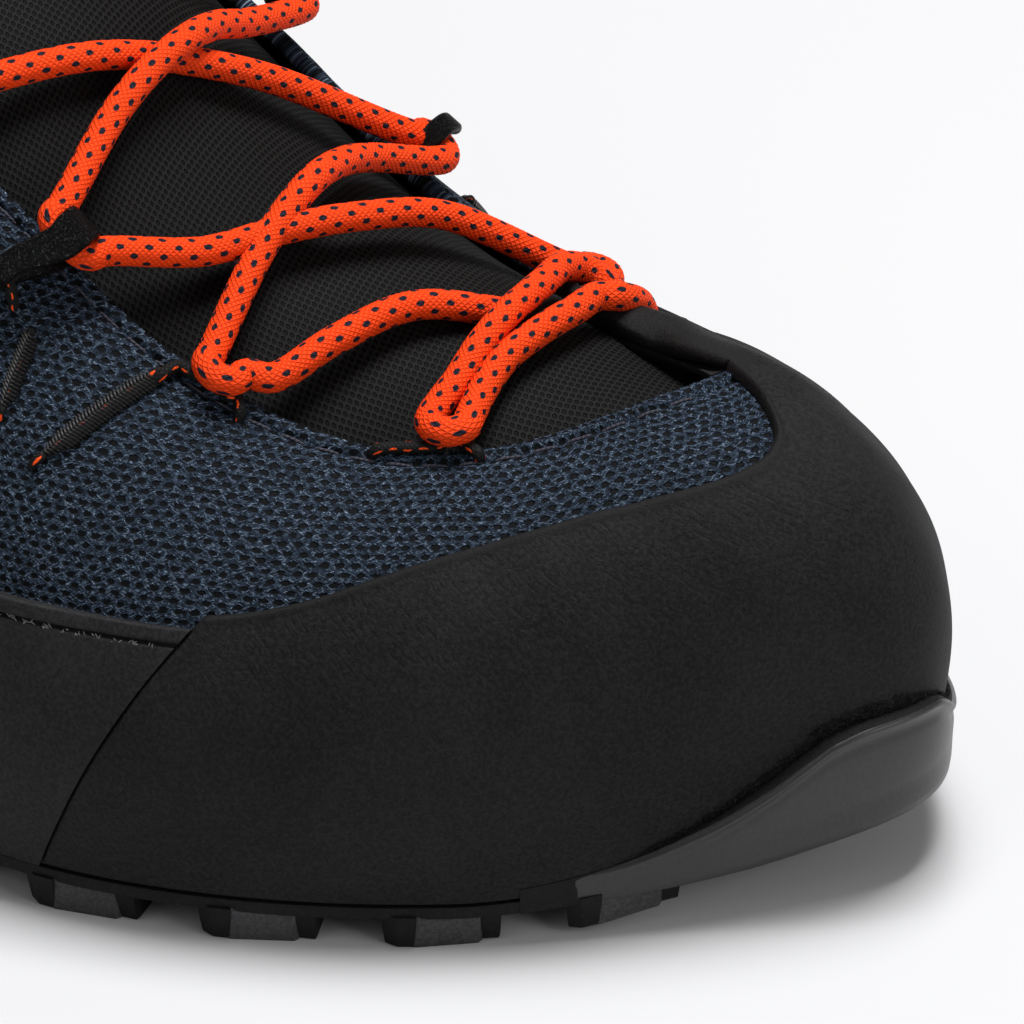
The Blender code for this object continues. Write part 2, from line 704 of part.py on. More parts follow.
def tongue_face(x, y):
    """Point and upward normal of the tongue's face nearest to x, y in plan."""
    def at(px, py):
        control = tongue_section(px)[2]
        low, high = 0.0, 1.0
        for _ in range(30):
            mid = (low + high) / 2
            if bezier(control, mid)[1] < py:
                low = mid
            else:
                high = mid
        return bezier(control, (low + high) / 2)
    d = 0.002
    point = at(x, y)
    along = at(x + d, y) - at(x - d, y)
    across = at(x, y + d) - at(x, y - d)
    n = np.cross(along, across)
    n = n / max(np.linalg.norm(n), 1e-9)
    return point, n if n[2] > 0 else -n


# Loops and lace

def loop_frame(side, share, shift, kind):
    """Lace centre in a loop, the direction of the rim there, out of the throat and up."""
    u = rim_station(share * LENGTH, side)
    uu, one = np.array([u]), np.array([1.0])
    rim = upper(uu, one)[0]
    up = normal(uu, one)[0]
    along = (upper(uu + .01, one) - upper(uu - .01, one))[0] * (1 if side < 0 else -1)
    along = along / np.linalg.norm(along)
    out = (upper(uu, one - .05) - upper(uu, one))[0]
    out = out - along * np.dot(out, along)
    out = out / np.linalg.norm(out)
    seat = STRAP + 3 * GAP if kind == "strap" else 3 * GAP
    centre = rim + up * (LACE / 2 + seat) - out * shift * LACE
    inward = -out * np.array([1, 1, 0.3])
    return u, centre, along, out, up, inward / np.linalg.norm(inward)


def sweep(path, frames, profile, closed=False):
    """Carry a profile along a path; each frame gives the profile's two directions."""
    rows = []
    for point, (a, b) in zip(path, frames):
        rows.append([point + a * p + b * q for p, q in profile])
    rows = np.array(rows)
    count, sides = rows.shape[:2]
    points = rows.reshape(-1, 3)
    faces = []
    for i in range(count if closed else count - 1):
        k = (i + 1) % count
        for j in range(sides):
            m = (j + 1) % sides
            faces.append((i * sides + j, i * sides + m, k * sides + m, k * sides + j))
    if not closed:
        faces.append(tuple(range(sides)))
        faces.append(tuple((count - 1) * sides + j for j in reversed(range(sides))))
    return points, faces


def ring_path(centre, out, up, anchor, radius, count):
    """Closed path round the lace that narrows to its anchor on the upper."""
    path = []
    cross = []
    for k in range(count):
        angle = math.pi * (0.22 + 1.56 * k / (count - 1))
        way = out * math.cos(angle) + up * math.sin(angle)
        path.append(centre + way * radius)
        cross.append(way)
    top = path[0] * .45 + anchor * .55 + up * 0.10 * radius
    low = path[-1] * .45 + anchor * .55
    return [anchor, top] + path + [low], [out, up] + cross + [-up]


def surface_track(u, start, reach):
    """Level on station u that lies reach away from the level start, measured on the upper."""
    level = np.linspace(start, start - .5, 120)
    track = upper(np.full(120, u), level)
    gone = np.concatenate([[0], np.cumsum(np.linalg.norm(np.diff(track, axis=0), axis=1))])
    return float(np.interp(reach, gone, level))


def build_cord_loop(name, side, share, shift):
    """Soft loop: a cord that runs from the mesh, under the bend of the lace, and back."""
    u, centre, along, out, up, inward = loop_frame(side, share, shift, "cord")
    low = CORD / 2 + GAP
    feet = []
    for way in (-1, 1):
        reach = way * 0.80 * LOOP_REACH
        foot_u = rim_station(share * LENGTH + float(along[0]) * reach, side)
        for level in (surface_track(foot_u, 1.0, 1.6 * CORD), 1.0):
            at = (np.array([foot_u]), np.array([level]))
            feet.append(upper(*at)[0] + normal(*at)[0] * low)
    middle = centre + inward * BEND - up * (LACE / 2 + low - 0.25 * CORD)
    beside = [middle - inward * 0.35 * BEND + along * way * 0.9 * BEND - up * 0.25 * CORD for way in (-1, 1)]
    way = catmull([feet[0], feet[1], beside[0], middle, beside[1], feet[3], feet[2]], 15)
    points, faces = tube(way, CORD, 6)
    return add_object(f"loop_{name}", points, faces, (0.02, 0.02, 0.02), 0.8)


def build_strap_loop(name, side, share, shift):
    """Moulded loop: a flat strap folded round the lace and fixed on the upper."""
    u, centre, along, out, up, inward = loop_frame(side, share, shift, "strap")
    radius = LACE / 2 + 2 * GAP + STRAP / 2
    t = surface_track(u, 1.0, 1.15 * LOOP_REACH - shift * LACE)
    at = (np.array([u]), np.array([t]))
    anchor = upper(*at)[0] + normal(*at)[0] * (GAP + 0.62 * STRAP)
    path, cross = ring_path(centre, out, up, anchor, radius, 8)
    w, h = STRAP_WIDTH / 2, STRAP / 2
    profile = [(-w, -h), (w, -h), (w, h), (-w, h)]
    points, faces = sweep(path, [(along, c) for c in cross], profile, closed=True)
    return add_object(f"loop_{name}", points, faces, (0.012, 0.012, 0.013), 0.4)


def build_loop(name, side, share, kind, shift):
    """One lace loop."""
    if kind == "cord":
        return build_cord_loop(name, side, share, shift)
    return build_strap_loop(name, side, share, shift)


def build_bar(name, side, share, kind):
    """Raised embroidery that runs down the upper from a loop's anchor."""
    soft = kind == "cord"
    foot = share * LENGTH - (0.80 * LOOP_REACH if soft else 0)
    u0 = rim_station(foot, side)
    start = surface_track(u0, 1.0, 3.2 * CORD if soft else 1.15 * LOOP_REACH + 1.4 * STRAP)
    rows = []
    for s in (0.0, 0.35, 0.7, 1.0):
        u = u0 + side * s * (BAR_LEAN if soft else 0.1 * BAR_LEAN)
        t = surface_track(u, start, BAR_LENGTH * s * (0.9 if soft else 0.5))
        spot = np.array([t])
        step = np.linalg.norm(upper(np.array([u + .01]), spot) - upper(np.array([u - .01]), spot)) / .02
        rows.append([(u + k * BAR_WIDTH / 2 / step, t) for k in (-1, 0, 1)])
    grid = np.array(rows)
    uu, tt = grid[..., 0], grid[..., 1]
    crown = np.array([.55, 1, .55])[None, :] * BAR
    points, faces = close_sheet(skin(uu, tt, GAP + crown + 0 * uu), skin(uu, tt, 0 * uu + GAP))
    return add_object(f"bar_{name}", points, faces, (0.012, 0.012, 0.012), 0.6)


def catmull(points, count):
    """Smooth path through the points, resampled at even distances."""
    p = [2 * points[0] - points[1], *points, 2 * points[-1] - points[-2]]
    dense = []
    for i in range(1, len(p) - 2):
        a, b, c, d = p[i - 1:i + 3]
        t0 = 0.0
        t1 = t0 + math.sqrt(np.linalg.norm(b - a))
        t2 = t1 + math.sqrt(np.linalg.norm(c - b))
        t3 = t2 + math.sqrt(np.linalg.norm(d - c))
        for t in np.linspace(t1, t2, 24, endpoint=False):
            q1 = a * (t1 - t) / (t1 - t0) + b * (t - t0) / (t1 - t0)
            q2 = b * (t2 - t) / (t2 - t1) + c * (t - t1) / (t2 - t1)
            q3 = c * (t3 - t) / (t3 - t2) + d * (t - t2) / (t3 - t2)
            r1 = q1 * (t2 - t) / (t2 - t0) + q2 * (t - t0) / (t2 - t0)
            r2 = q2 * (t3 - t) / (t3 - t1) + q3 * (t - t1) / (t3 - t1)
            dense.append(r1 * (t2 - t) / (t2 - t1) + r2 * (t - t1) / (t2 - t1))
    dense.append(points[-1])
    dense = np.array(dense)
    run = np.concatenate([[0], np.cumsum(np.linalg.norm(np.diff(dense, axis=0), axis=1))])
    even = np.linspace(0, run[-1], count)
    return np.stack([np.interp(even, run, dense[:, k]) for k in range(3)], -1)


def lace_bend(name):
    """Points that carry the lace through a loop, from its rear side to its front side."""
    side, share, kind, shift = next(row[1:] for row in LOOPS if row[0] == name)
    u, centre, along, out, up, inward = loop_frame(side, share, shift, kind)
    flat = 0.0 if kind == "cord" else STRAP_WIDTH / 2 + 2 * GAP
    points = []
    for angle in (-100, -55, -15, 15, 55, 100):
        turn = math.radians(angle)
        way = math.copysign(flat, angle) + BEND * math.sin(turn)
        points.append(centre + along * way + inward * BEND * (1 - math.cos(turn)))
    return points


def strand(start, stop, heights):
    """Free part of the lace between two loops; heights are levels above the tongue in laces."""
    points = []
    for share, height in heights:
        plan = start + (stop - start) * share
        face, n = tongue_face(plan[0], plan[1])
        points.append(face + n * (LACE / 2 + GAP + height * LACE))
    return points


LOW = ((.28, .30), (.42, .10), (.58, .10), (.72, .30))
HIGH = ((.26, .40), (.38, .62), (.50, .84), (.62, .62), (.74, .40))


def lace_path(stops, lead):
    """Centre line of one half of the lace through its loops."""
    path = list(lead)
    for k, (name, front_first) in enumerate(stops):
        bend = lace_bend(name)
        if not front_first:
            bend = bend[::-1]
        bend = bend[::-1]
        if k:
            path += strand(path[-1], bend[0], HIGH if k % 2 else LOW)
        path += bend
    return path


def tube(way, width, sides):
    """Round tube with a steady frame along its points."""
    tangent = np.gradient(np.array(way), axis=0)
    tangent /= np.linalg.norm(tangent, axis=1, keepdims=True)
    a = np.cross(tangent[0], (0, 0, 1.0))
    frames = []
    for t in tangent:
        a = a - t * np.dot(a, t)
        a = a / np.linalg.norm(a)
        frames.append((a, np.cross(t, a)))
    turn = [2 * math.pi * k / sides for k in range(sides)]
    profile = [(width / 2 * math.cos(k), width / 2 * math.sin(k)) for k in turn]
    return sweep(list(way), frames, profile)


def lace_points(path):
    """Smooth points of the lace: close together in the bends, wider on the free strands."""
    way = catmull(path, 900)
    ahead = np.linalg.norm(np.diff(way, axis=0), axis=1)
    tangent = np.diff(way, axis=0) / ahead[:, None]
    turn = np.degrees(np.arccos(np.clip((tangent[1:] * tangent[:-1]).sum(1), -1, 1)))
    picked = [0]
    gone, turned = 0.0, 0.0
    for k in range(1, len(way) - 1):
        gone += ahead[k - 1]
        turned += turn[k - 1]
        if gone > 1.8 * LACE or turned > 22:
            picked.append(k)
            gone, turned = 0.0, 0.0
    picked.append(len(way) - 1)
    return way[picked]


def tab_over(x, y):
    """Lace centre where it crosses the face of the toe tab."""
    middle = skin(np.array([12.85]), np.array([1.0]), np.array([GAP + RAND + RAND_LIFT]))[0]
    height = middle[2] + 0.13 * (middle[0] - x) + LACE / 2 + 5 * GAP
    return np.array([x, y, height])


def build_lace():
    """Round braided lace: two halves that cross over the tongue, joined where they cross."""
    root = skin(np.array([12.85]), np.array([1.0]), np.array([GAP]))[0]
    ridge_y = root[1] - 0.02 * BALL
    outer_1 = lace_bend("outer_1")
    lead_a = [
        np.array([root[0] - 0.82 * TAB_LENGTH, root[1] + 2.10 * LACE, root[2] + 0.30 * LACE]),
        np.array([root[0] - 0.76 * TAB_LENGTH, root[1] + 1.65 * LACE, root[2] + 1.40 * LACE]),
        tab_over(root[0] - 0.68 * TAB_LENGTH, ridge_y + 0.9 * LACE),
        tab_over(root[0] - 0.72 * TAB_LENGTH, ridge_y - 0.9 * LACE),
    ]
    lead_a += strand(lead_a[-1], outer_1[-1], ((.35, .80), (.72, .45)))
    half_a = lace_path((
        ("outer_1", True), ("inner_1", True), ("outer_3", True),
        ("inner_3", True), ("outer_5", True), ("inner_5", True),
    ), lead_a)
    under = np.array([root[0] - 0.95 * TAB_LENGTH, root[1] - 2.4 * LACE, root[2]])
    face, n = tongue_face(under[0], under[1])
    lead_b = [face + n * (LACE / 2 + 2 * GAP)]
    outer_2 = lace_bend("outer_2")
    lead_b += strand(lead_b[0], outer_2[-1], ((.30, .10), (.62, .12), (.86, .30)))
    half_b = lace_path((
        ("outer_2", True), ("inner_2", True), ("outer_4", True),
        ("inner_4", True), ("outer_6", True),
    ), lead_b)
    color = (0.90, 0.115, 0.012)
    points, faces = tube(lace_points(half_a), LACE, 6)
    lace = add_object("lace", points, faces, color, 0.75)
    points, faces = tube(lace_points(half_b), LACE, 6)
    other = add_object("lace second half", points, faces, color, 0.75)
    union(lace, (other,), "lace")
    return lace


def build_pull_loop():
    """Webbing loop on the back of the heel."""
    low = skin(np.array([0.0]), np.array([.74]), np.array([GAP + 0.6 * STRAP]))[0]
    high = skin(np.array([0.0]), np.array([.97]), np.array([GAP + 0.6 * STRAP]))[0]
    middle = (low + high) / 2
    path = [
        low, middle + np.array([-0.0002, 0, 0]), high,
        high + np.array([0.0, 0, 0.55 * PULL_RISE]), high + np.array([-0.25 * PULL_RISE, 0, PULL_RISE]),
        high + np.array([-0.66 * PULL_RISE, 0, 0.82 * PULL_RISE]),
        high + np.array([-0.92 * PULL_RISE, 0, 0.25 * PULL_RISE]),
        middle + np.array([-0.70 * PULL_RISE, 0, 0]),
    ]
    path = np.array(path)
    way = np.roll(path, -1, 0) - np.roll(path, 1, 0)
    way /= np.linalg.norm(way, axis=1, keepdims=True)
    across = np.array([0, 1.0, 0])
    frames = [(across, np.cross(across, w)) for w in way]
    w, h = PULL_WIDTH / 2, STRAP / 2
    profile = [(-w, -h), (w, -h), (w, h), (-w, h)]
    points, faces = sweep(list(path), frames, profile, closed=True)
    return add_object("pull_loop", points, faces, (0.02, 0.02, 0.02), 0.8)


def recentre():
    """Move the shoe so that the origin is at the middle of its box, on the floor."""
    bpy.context.view_layer.update()
    graph = bpy.context.evaluated_depsgraph_get()
    low, high = np.full(3, 1e9), np.full(3, -1e9)
    objects = [o for o in bpy.data.objects if o.type == "MESH"]
    for obj in objects:
        if obj.hide_render:
            continue
        mesh = obj.evaluated_get(graph).to_mesh()
        points = np.array([v.co[:] for v in mesh.vertices])
        low = np.minimum(low, points.min(0))
        high = np.maximum(high, points.max(0))
        obj.evaluated_get(graph).to_mesh_clear()
    shift = -(low + high) / 2
    shift[2] = -low[2]
    for obj in objects:
        obj.location = shift
    bpy.context.view_layer.update()


def main():
    for obj in list(bpy.data.objects):
        bpy.data.objects.remove(obj, do_unlink=True)
    build_outsole()
    inset = -(WALL + 2 * GAP)
    plate("midsole", lambda x: outsole_top(x) + FIT, midsole_top, lambda u: RAND,
          (0.03, 0.03, 0.032), 0.8)
    plate("insole", lambda x: midsole_top(x) + FIT, lambda x: midsole_top(x) + FIT + FOOTBED,
          lambda u: inset, (0.02, 0.02, 0.022), 0.95)
    build_upper()
    build_toe_rand()
    build_side_rand()
    build_counter()
    build_collar()
    build_tongue()
    for row in LOOPS:
        build_loop(*row)
        if row[0] not in ("outer_1", "inner_1"):
            build_bar(*row[:4])
    build_lace()
    build_pull_loop()
    recentre()


if __name__ == "__main__":
    main()
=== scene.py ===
"""Looks of a right-foot approach shoe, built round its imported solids.

Every layer is an offset of one surface, the upper, which is laid out by station
(round the foot from the back of the heel) and level (from the sole line to the rim).
"""

import logging
import math
from dataclasses import dataclass, field
from enum import Enum
from typing import Callable, Iterable, Sequence

import bmesh
import bpy
import numpy as np
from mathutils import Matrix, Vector


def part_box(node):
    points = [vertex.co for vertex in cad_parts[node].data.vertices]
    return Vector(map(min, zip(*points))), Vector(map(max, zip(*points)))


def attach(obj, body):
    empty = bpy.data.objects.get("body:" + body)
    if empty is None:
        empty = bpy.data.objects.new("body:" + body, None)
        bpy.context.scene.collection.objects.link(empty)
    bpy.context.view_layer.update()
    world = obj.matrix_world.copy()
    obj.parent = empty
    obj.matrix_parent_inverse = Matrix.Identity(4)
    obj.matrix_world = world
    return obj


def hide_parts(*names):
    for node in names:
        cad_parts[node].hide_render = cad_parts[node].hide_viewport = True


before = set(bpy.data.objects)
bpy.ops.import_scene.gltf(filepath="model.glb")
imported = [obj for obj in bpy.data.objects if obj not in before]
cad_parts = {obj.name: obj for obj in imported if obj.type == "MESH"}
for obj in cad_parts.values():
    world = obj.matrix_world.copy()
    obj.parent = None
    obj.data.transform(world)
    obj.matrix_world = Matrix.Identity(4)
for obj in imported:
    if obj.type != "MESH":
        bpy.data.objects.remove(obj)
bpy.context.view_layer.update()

LOG = logging.getLogger("shoe")
MM = 0.001
Array = np.ndarray

# along, across, top_along, top_across, top_rise, wall, swell, shoulder, drop
SECTIONS = (
    (.020, .000, .030, .000, 1.000, .39, .038, .010, .32),
    (.047, -.198, .047, -.142, .980, .37, .038, .019, .30),
    (.140, -.302, .140, -.255, .880, .34, .038, .038, .28),
    (.273, -.311, .273, -.283, .790, .32, .028, .057, .24),
    (.407, -.340, .413, -.269, .980, .34, .009, .094, .24),
    (.527, -.425, .500, -.255, .925, .34, .019, .151, .19),
    (.620, -.500, .600, -.250, .796, .32, .028, .189, .15),
    (.693, -.519, .677, -.241, .613, .30, .028, .189, .11),
    (.767, -.472, .753, -.208, .505, .29, .028, .189, .075),
    (.835, -.382, .810, -.151, .495, .29, .028, .179, .043),
    (.895, -.255, .843, -.075, .516, .30, .028, .189, .022),
    (.944, -.096, .867, -.009, .545, .31, .042, .208, .013),
    (.976, .045, .883, .085, .548, .29, .060, .200, .016),
    (.949, .201, .867, .158, .510, .28, .058, .170, .036),
    (.893, .332, .833, .220, .485, .28, .030, .155, .065),
    (.810, .434, .770, .264, .495, .30, .019, .142, .097),
    (.707, .472, .687, .292, .592, .32, .009, .132, .13),
    (.573, .387, .593, .297, .796, .37, .000, .113, .17),
    (.427, .292, .493, .283, .935, .39, .000, .094, .22),
    (.287, .264, .407, .292, .985, .39, .019, .057, .26),
    (.200, .274, .280, .292, .840, .37, .028, .038, .26),
    (.113, .274, .133, .255, .900, .37, .038, .028, .28),
    (.043, .179, .047, .132, .980, .37, .038, .019, .30),
)
COLUMNS = (3, 3, 2, 2, 2, 2, 3, 3, 3, 3, 3, 4, 4, 4, 3, 3, 2, 2, 2, 2, 2, 2, 3)
LEVELS = (0, .10, .21, .33, .46, .59, .71, .81, .90, 1.0)
ROUND = len(SECTIONS)
TOE_EDGE = (
    (7.00, .44), (7.80, .535), (8.50, .645), (9.00, .702), (9.50, .732),
    (10.00, .742), (10.50, .738), (11.00, .732), (11.25, .742), (11.50, .780),
    (11.75, .880), (12.00, 1.00), (13.75, 1.00), (14.00, .880), (14.33, .780),
    (14.67, .735), (15.00, .700), (16.00, .540), (17.00, .420),
)
OUTER_SEAM = (7.00, 7.80, .535)
INNER_SEAM = (16.60, 15.90, .550)
TAB_FROM, TAB_MIDDLE, TAB_TO = 12.00, 12.85, 13.75
TOE_TIP = 12.1
SIDE_EDGE = (
    (15.90, .510), (17.00, .420), (18.50, .330), (20.00, .270), (21.50, .280),
    (23.00, .300), (24.50, .280), (26.00, .250), (27.50, .280), (29.00, .375),
    (30.80, .500),
)
COUNTER_EDGE = ((20.60, .420), (21.40, .540), (23.00, .640), (24.60, .540), (25.40, .420))
BUMPER_EDGE = (
    (9.55, .004), (10.00, .012), (10.50, .042), (10.85, .080), (11.10, .116), (11.27, .137),
    (11.50, .146), (11.75, .143), (11.98, .137), (12.14, .112), (12.32, .080), (12.60, .065),
    (13.25, .056), (13.75, .050), (14.33, .038), (15.20, .006),
)


class LoopKind(Enum):
    """How a lace loop is made."""

    CORD = "cord"
    STRAP = "strap"


@dataclass(frozen=True)
class LoopSpot:
    """One lace loop: its name, side of the throat, share of the length, kind and inward shift."""

    name: str
    side: int
    share: float
    kind: LoopKind
    shift: float


LOOPS = (
    LoopSpot("outer_1", -1, .806, LoopKind.CORD, .10),
    LoopSpot("outer_2", -1, .712, LoopKind.CORD, -.22),
    LoopSpot("outer_3", -1, .644, LoopKind.STRAP, -.20),
    LoopSpot("outer_4", -1, .570, LoopKind.STRAP, .10),
    LoopSpot("outer_5", -1, .500, LoopKind.STRAP, .10),
    LoopSpot("outer_6", -1, .437, LoopKind.STRAP, .10),
    LoopSpot("inner_1", 1, .7925, LoopKind.CORD, .45),
    LoopSpot("inner_2", 1, .697, LoopKind.STRAP, .40),
    LoopSpot("inner_3", 1, .622, LoopKind.STRAP, .40),
    LoopSpot("inner_4", 1, .552, LoopKind.STRAP, .20),
    LoopSpot("inner_5", 1, .480, LoopKind.STRAP, .10),
)


# Curves and small helpers

def smooth(x: Array | float) -> Array:
    """Ease from 0 to 1."""
    x = np.clip(x, 0.0, 1.0)
    return x * x * (3 - 2 * x)


def run_along(path: Array) -> Array:
    """Distance from the start of a path to each of its points."""
    return np.concatenate([[0], np.cumsum(np.linalg.norm(np.diff(path, axis=0), axis=1))])


def rounded(away: Array, radius: float) -> Array:
    """Height of a quarter-round edge: 0 at the edge, 1 from the radius on."""
    return np.sqrt(np.clip(1 - (1 - np.clip(away / radius, 0, 1)) ** 2, 0, 1))


def bell(x: Array, middle: float, wide: float) -> Array:
    """Rounded ridge of height 1."""
    return np.exp(-((x - middle) / wide) ** 2)


def unit_rows(rows: Array) -> Array:
    """Rows scaled to length 1."""
    return rows / np.linalg.norm(rows, axis=1, keepdims=True)


def from_ends(count: int) -> Array:
    """How many columns each column lies from the nearer end."""
    return np.minimum(np.arange(count), np.arange(count)[::-1])[:, None]


def round_spline(values: Sequence[float]) -> Callable[[Array], Array]:
    """Closed curve through one value a section, with a continuous second derivative.

    Args:
        values: One value for each section.
    Returns:
        A function of the station.
    """
    v = np.array(values, float)
    n = len(v)
    system = 4 * np.eye(n) + np.roll(np.eye(n), 1, 0) + np.roll(np.eye(n), -1, 0)
    slope = np.linalg.solve(system, 3 * (np.roll(v, -1) - np.roll(v, 1)))

    def value(u: Array) -> Array:
        """Value at station u."""
        u = np.asarray(u, float) % n
        i = np.floor(u).astype(int) % n
        t = u - np.floor(u)
        j = (i + 1) % n
        a = (1 + 2 * t) * (1 - t) ** 2 * v[i] + t * (1 - t) ** 2 * slope[i]
        return a + t * t * (3 - 2 * t) * v[j] + t * t * (t - 1) * slope[j]

    return value


def soft_lookup(table: Sequence[tuple[float, float]], u: Array) -> Array:
    """Smooth curve through an edge table, with no overshoot between its points.

    Args:
        table: Pairs of station and level.
        u: Stations.
    Returns:
        The level at each station.
    """
    x = np.array([row[0] for row in table])
    y = np.array([row[1] for row in table])
    step = np.diff(y) / np.diff(x)
    slope = np.zeros_like(y)
    same = step[1:] * step[:-1] > 0
    slope[1:-1][same] = 2 * step[1:][same] * step[:-1][same] / (step[1:] + step[:-1])[same]
    slope[0], slope[-1] = step[0], step[-1]
    u = np.clip(np.asarray(u, float), x[0], x[-1])
    i = np.clip(np.searchsorted(x, u, side="right") - 1, 0, len(x) - 2)
    h = x[i + 1] - x[i]
    t = (u - x[i]) / h
    a = (1 + 2 * t) * (1 - t) ** 2 * y[i] + t * (1 - t) ** 2 * h * slope[i]
    return a + t * t * (3 - 2 * t) * y[i + 1] + t * t * (t - 1) * h * slope[i + 1]


def catmull(points: Sequence[Array], count: int) -> Array:
    """Smooth path through the points, resampled at even distances.

    Args:
        points: Points that the path passes.
        count: How many points come back.
    Returns:
        The path, one row a point.
    """
    p = [2 * points[0] - points[1], *points, 2 * points[-1] - points[-2]]
    dense = []
    for i in range(1, len(p) - 2):
        a, b, c, d = p[i - 1:i + 3]
        t0 = 0.0
        t1 = t0 + math.sqrt(np.linalg.norm(b - a))
        t2 = t1 + math.sqrt(np.linalg.norm(c - b))
        t3 = t2 + math.sqrt(np.linalg.norm(d - c))
        for t in np.linspace(t1, t2, 24, endpoint=False):
            q1 = a * (t1 - t) / (t1 - t0) + b * (t - t0) / (t1 - t0)
            q2 = b * (t2 - t) / (t2 - t1) + c * (t - t1) / (t2 - t1)
            q3 = c * (t3 - t) / (t3 - t2) + d * (t - t2) / (t3 - t2)
            r1 = q1 * (t2 - t) / (t2 - t0) + q2 * (t - t0) / (t2 - t0)
            r2 = q2 * (t3 - t) / (t3 - t1) + q3 * (t - t1) / (t3 - t1)
            dense.append(r1 * (t2 - t) / (t2 - t1) + r2 * (t - t1) / (t2 - t1))
    dense.append(points[-1])
    return even_path(np.array(dense), count)


def even_path(path: Array, count: int) -> Array:
    """The path resampled at count points an even distance apart."""
    run = run_along(path)
    even = np.linspace(0, run[-1], count)
    return np.stack([np.interp(even, run, path[:, k]) for k in range(3)], -1)


def steady_frames(path: Array) -> tuple[Array, Array]:
    """Two directions across a path that turn as little as they can.

    Args:
        path: Points of the path.
    Returns:
        The two unit directions at each point.
    """
    tangent = unit_rows(np.gradient(path, axis=0))
    a = np.cross(tangent[0], (0, 0, 1.0))
    if np.linalg.norm(a) < 1e-6:
        a = np.array([1.0, 0, 0])
    first = np.empty_like(path)
    for k, t in enumerate(tangent):
        a = a - t * np.dot(a, t)
        a = a / np.linalg.norm(a)
        first[k] = a
    return first, np.cross(tangent, first)


# The surface that all layers share

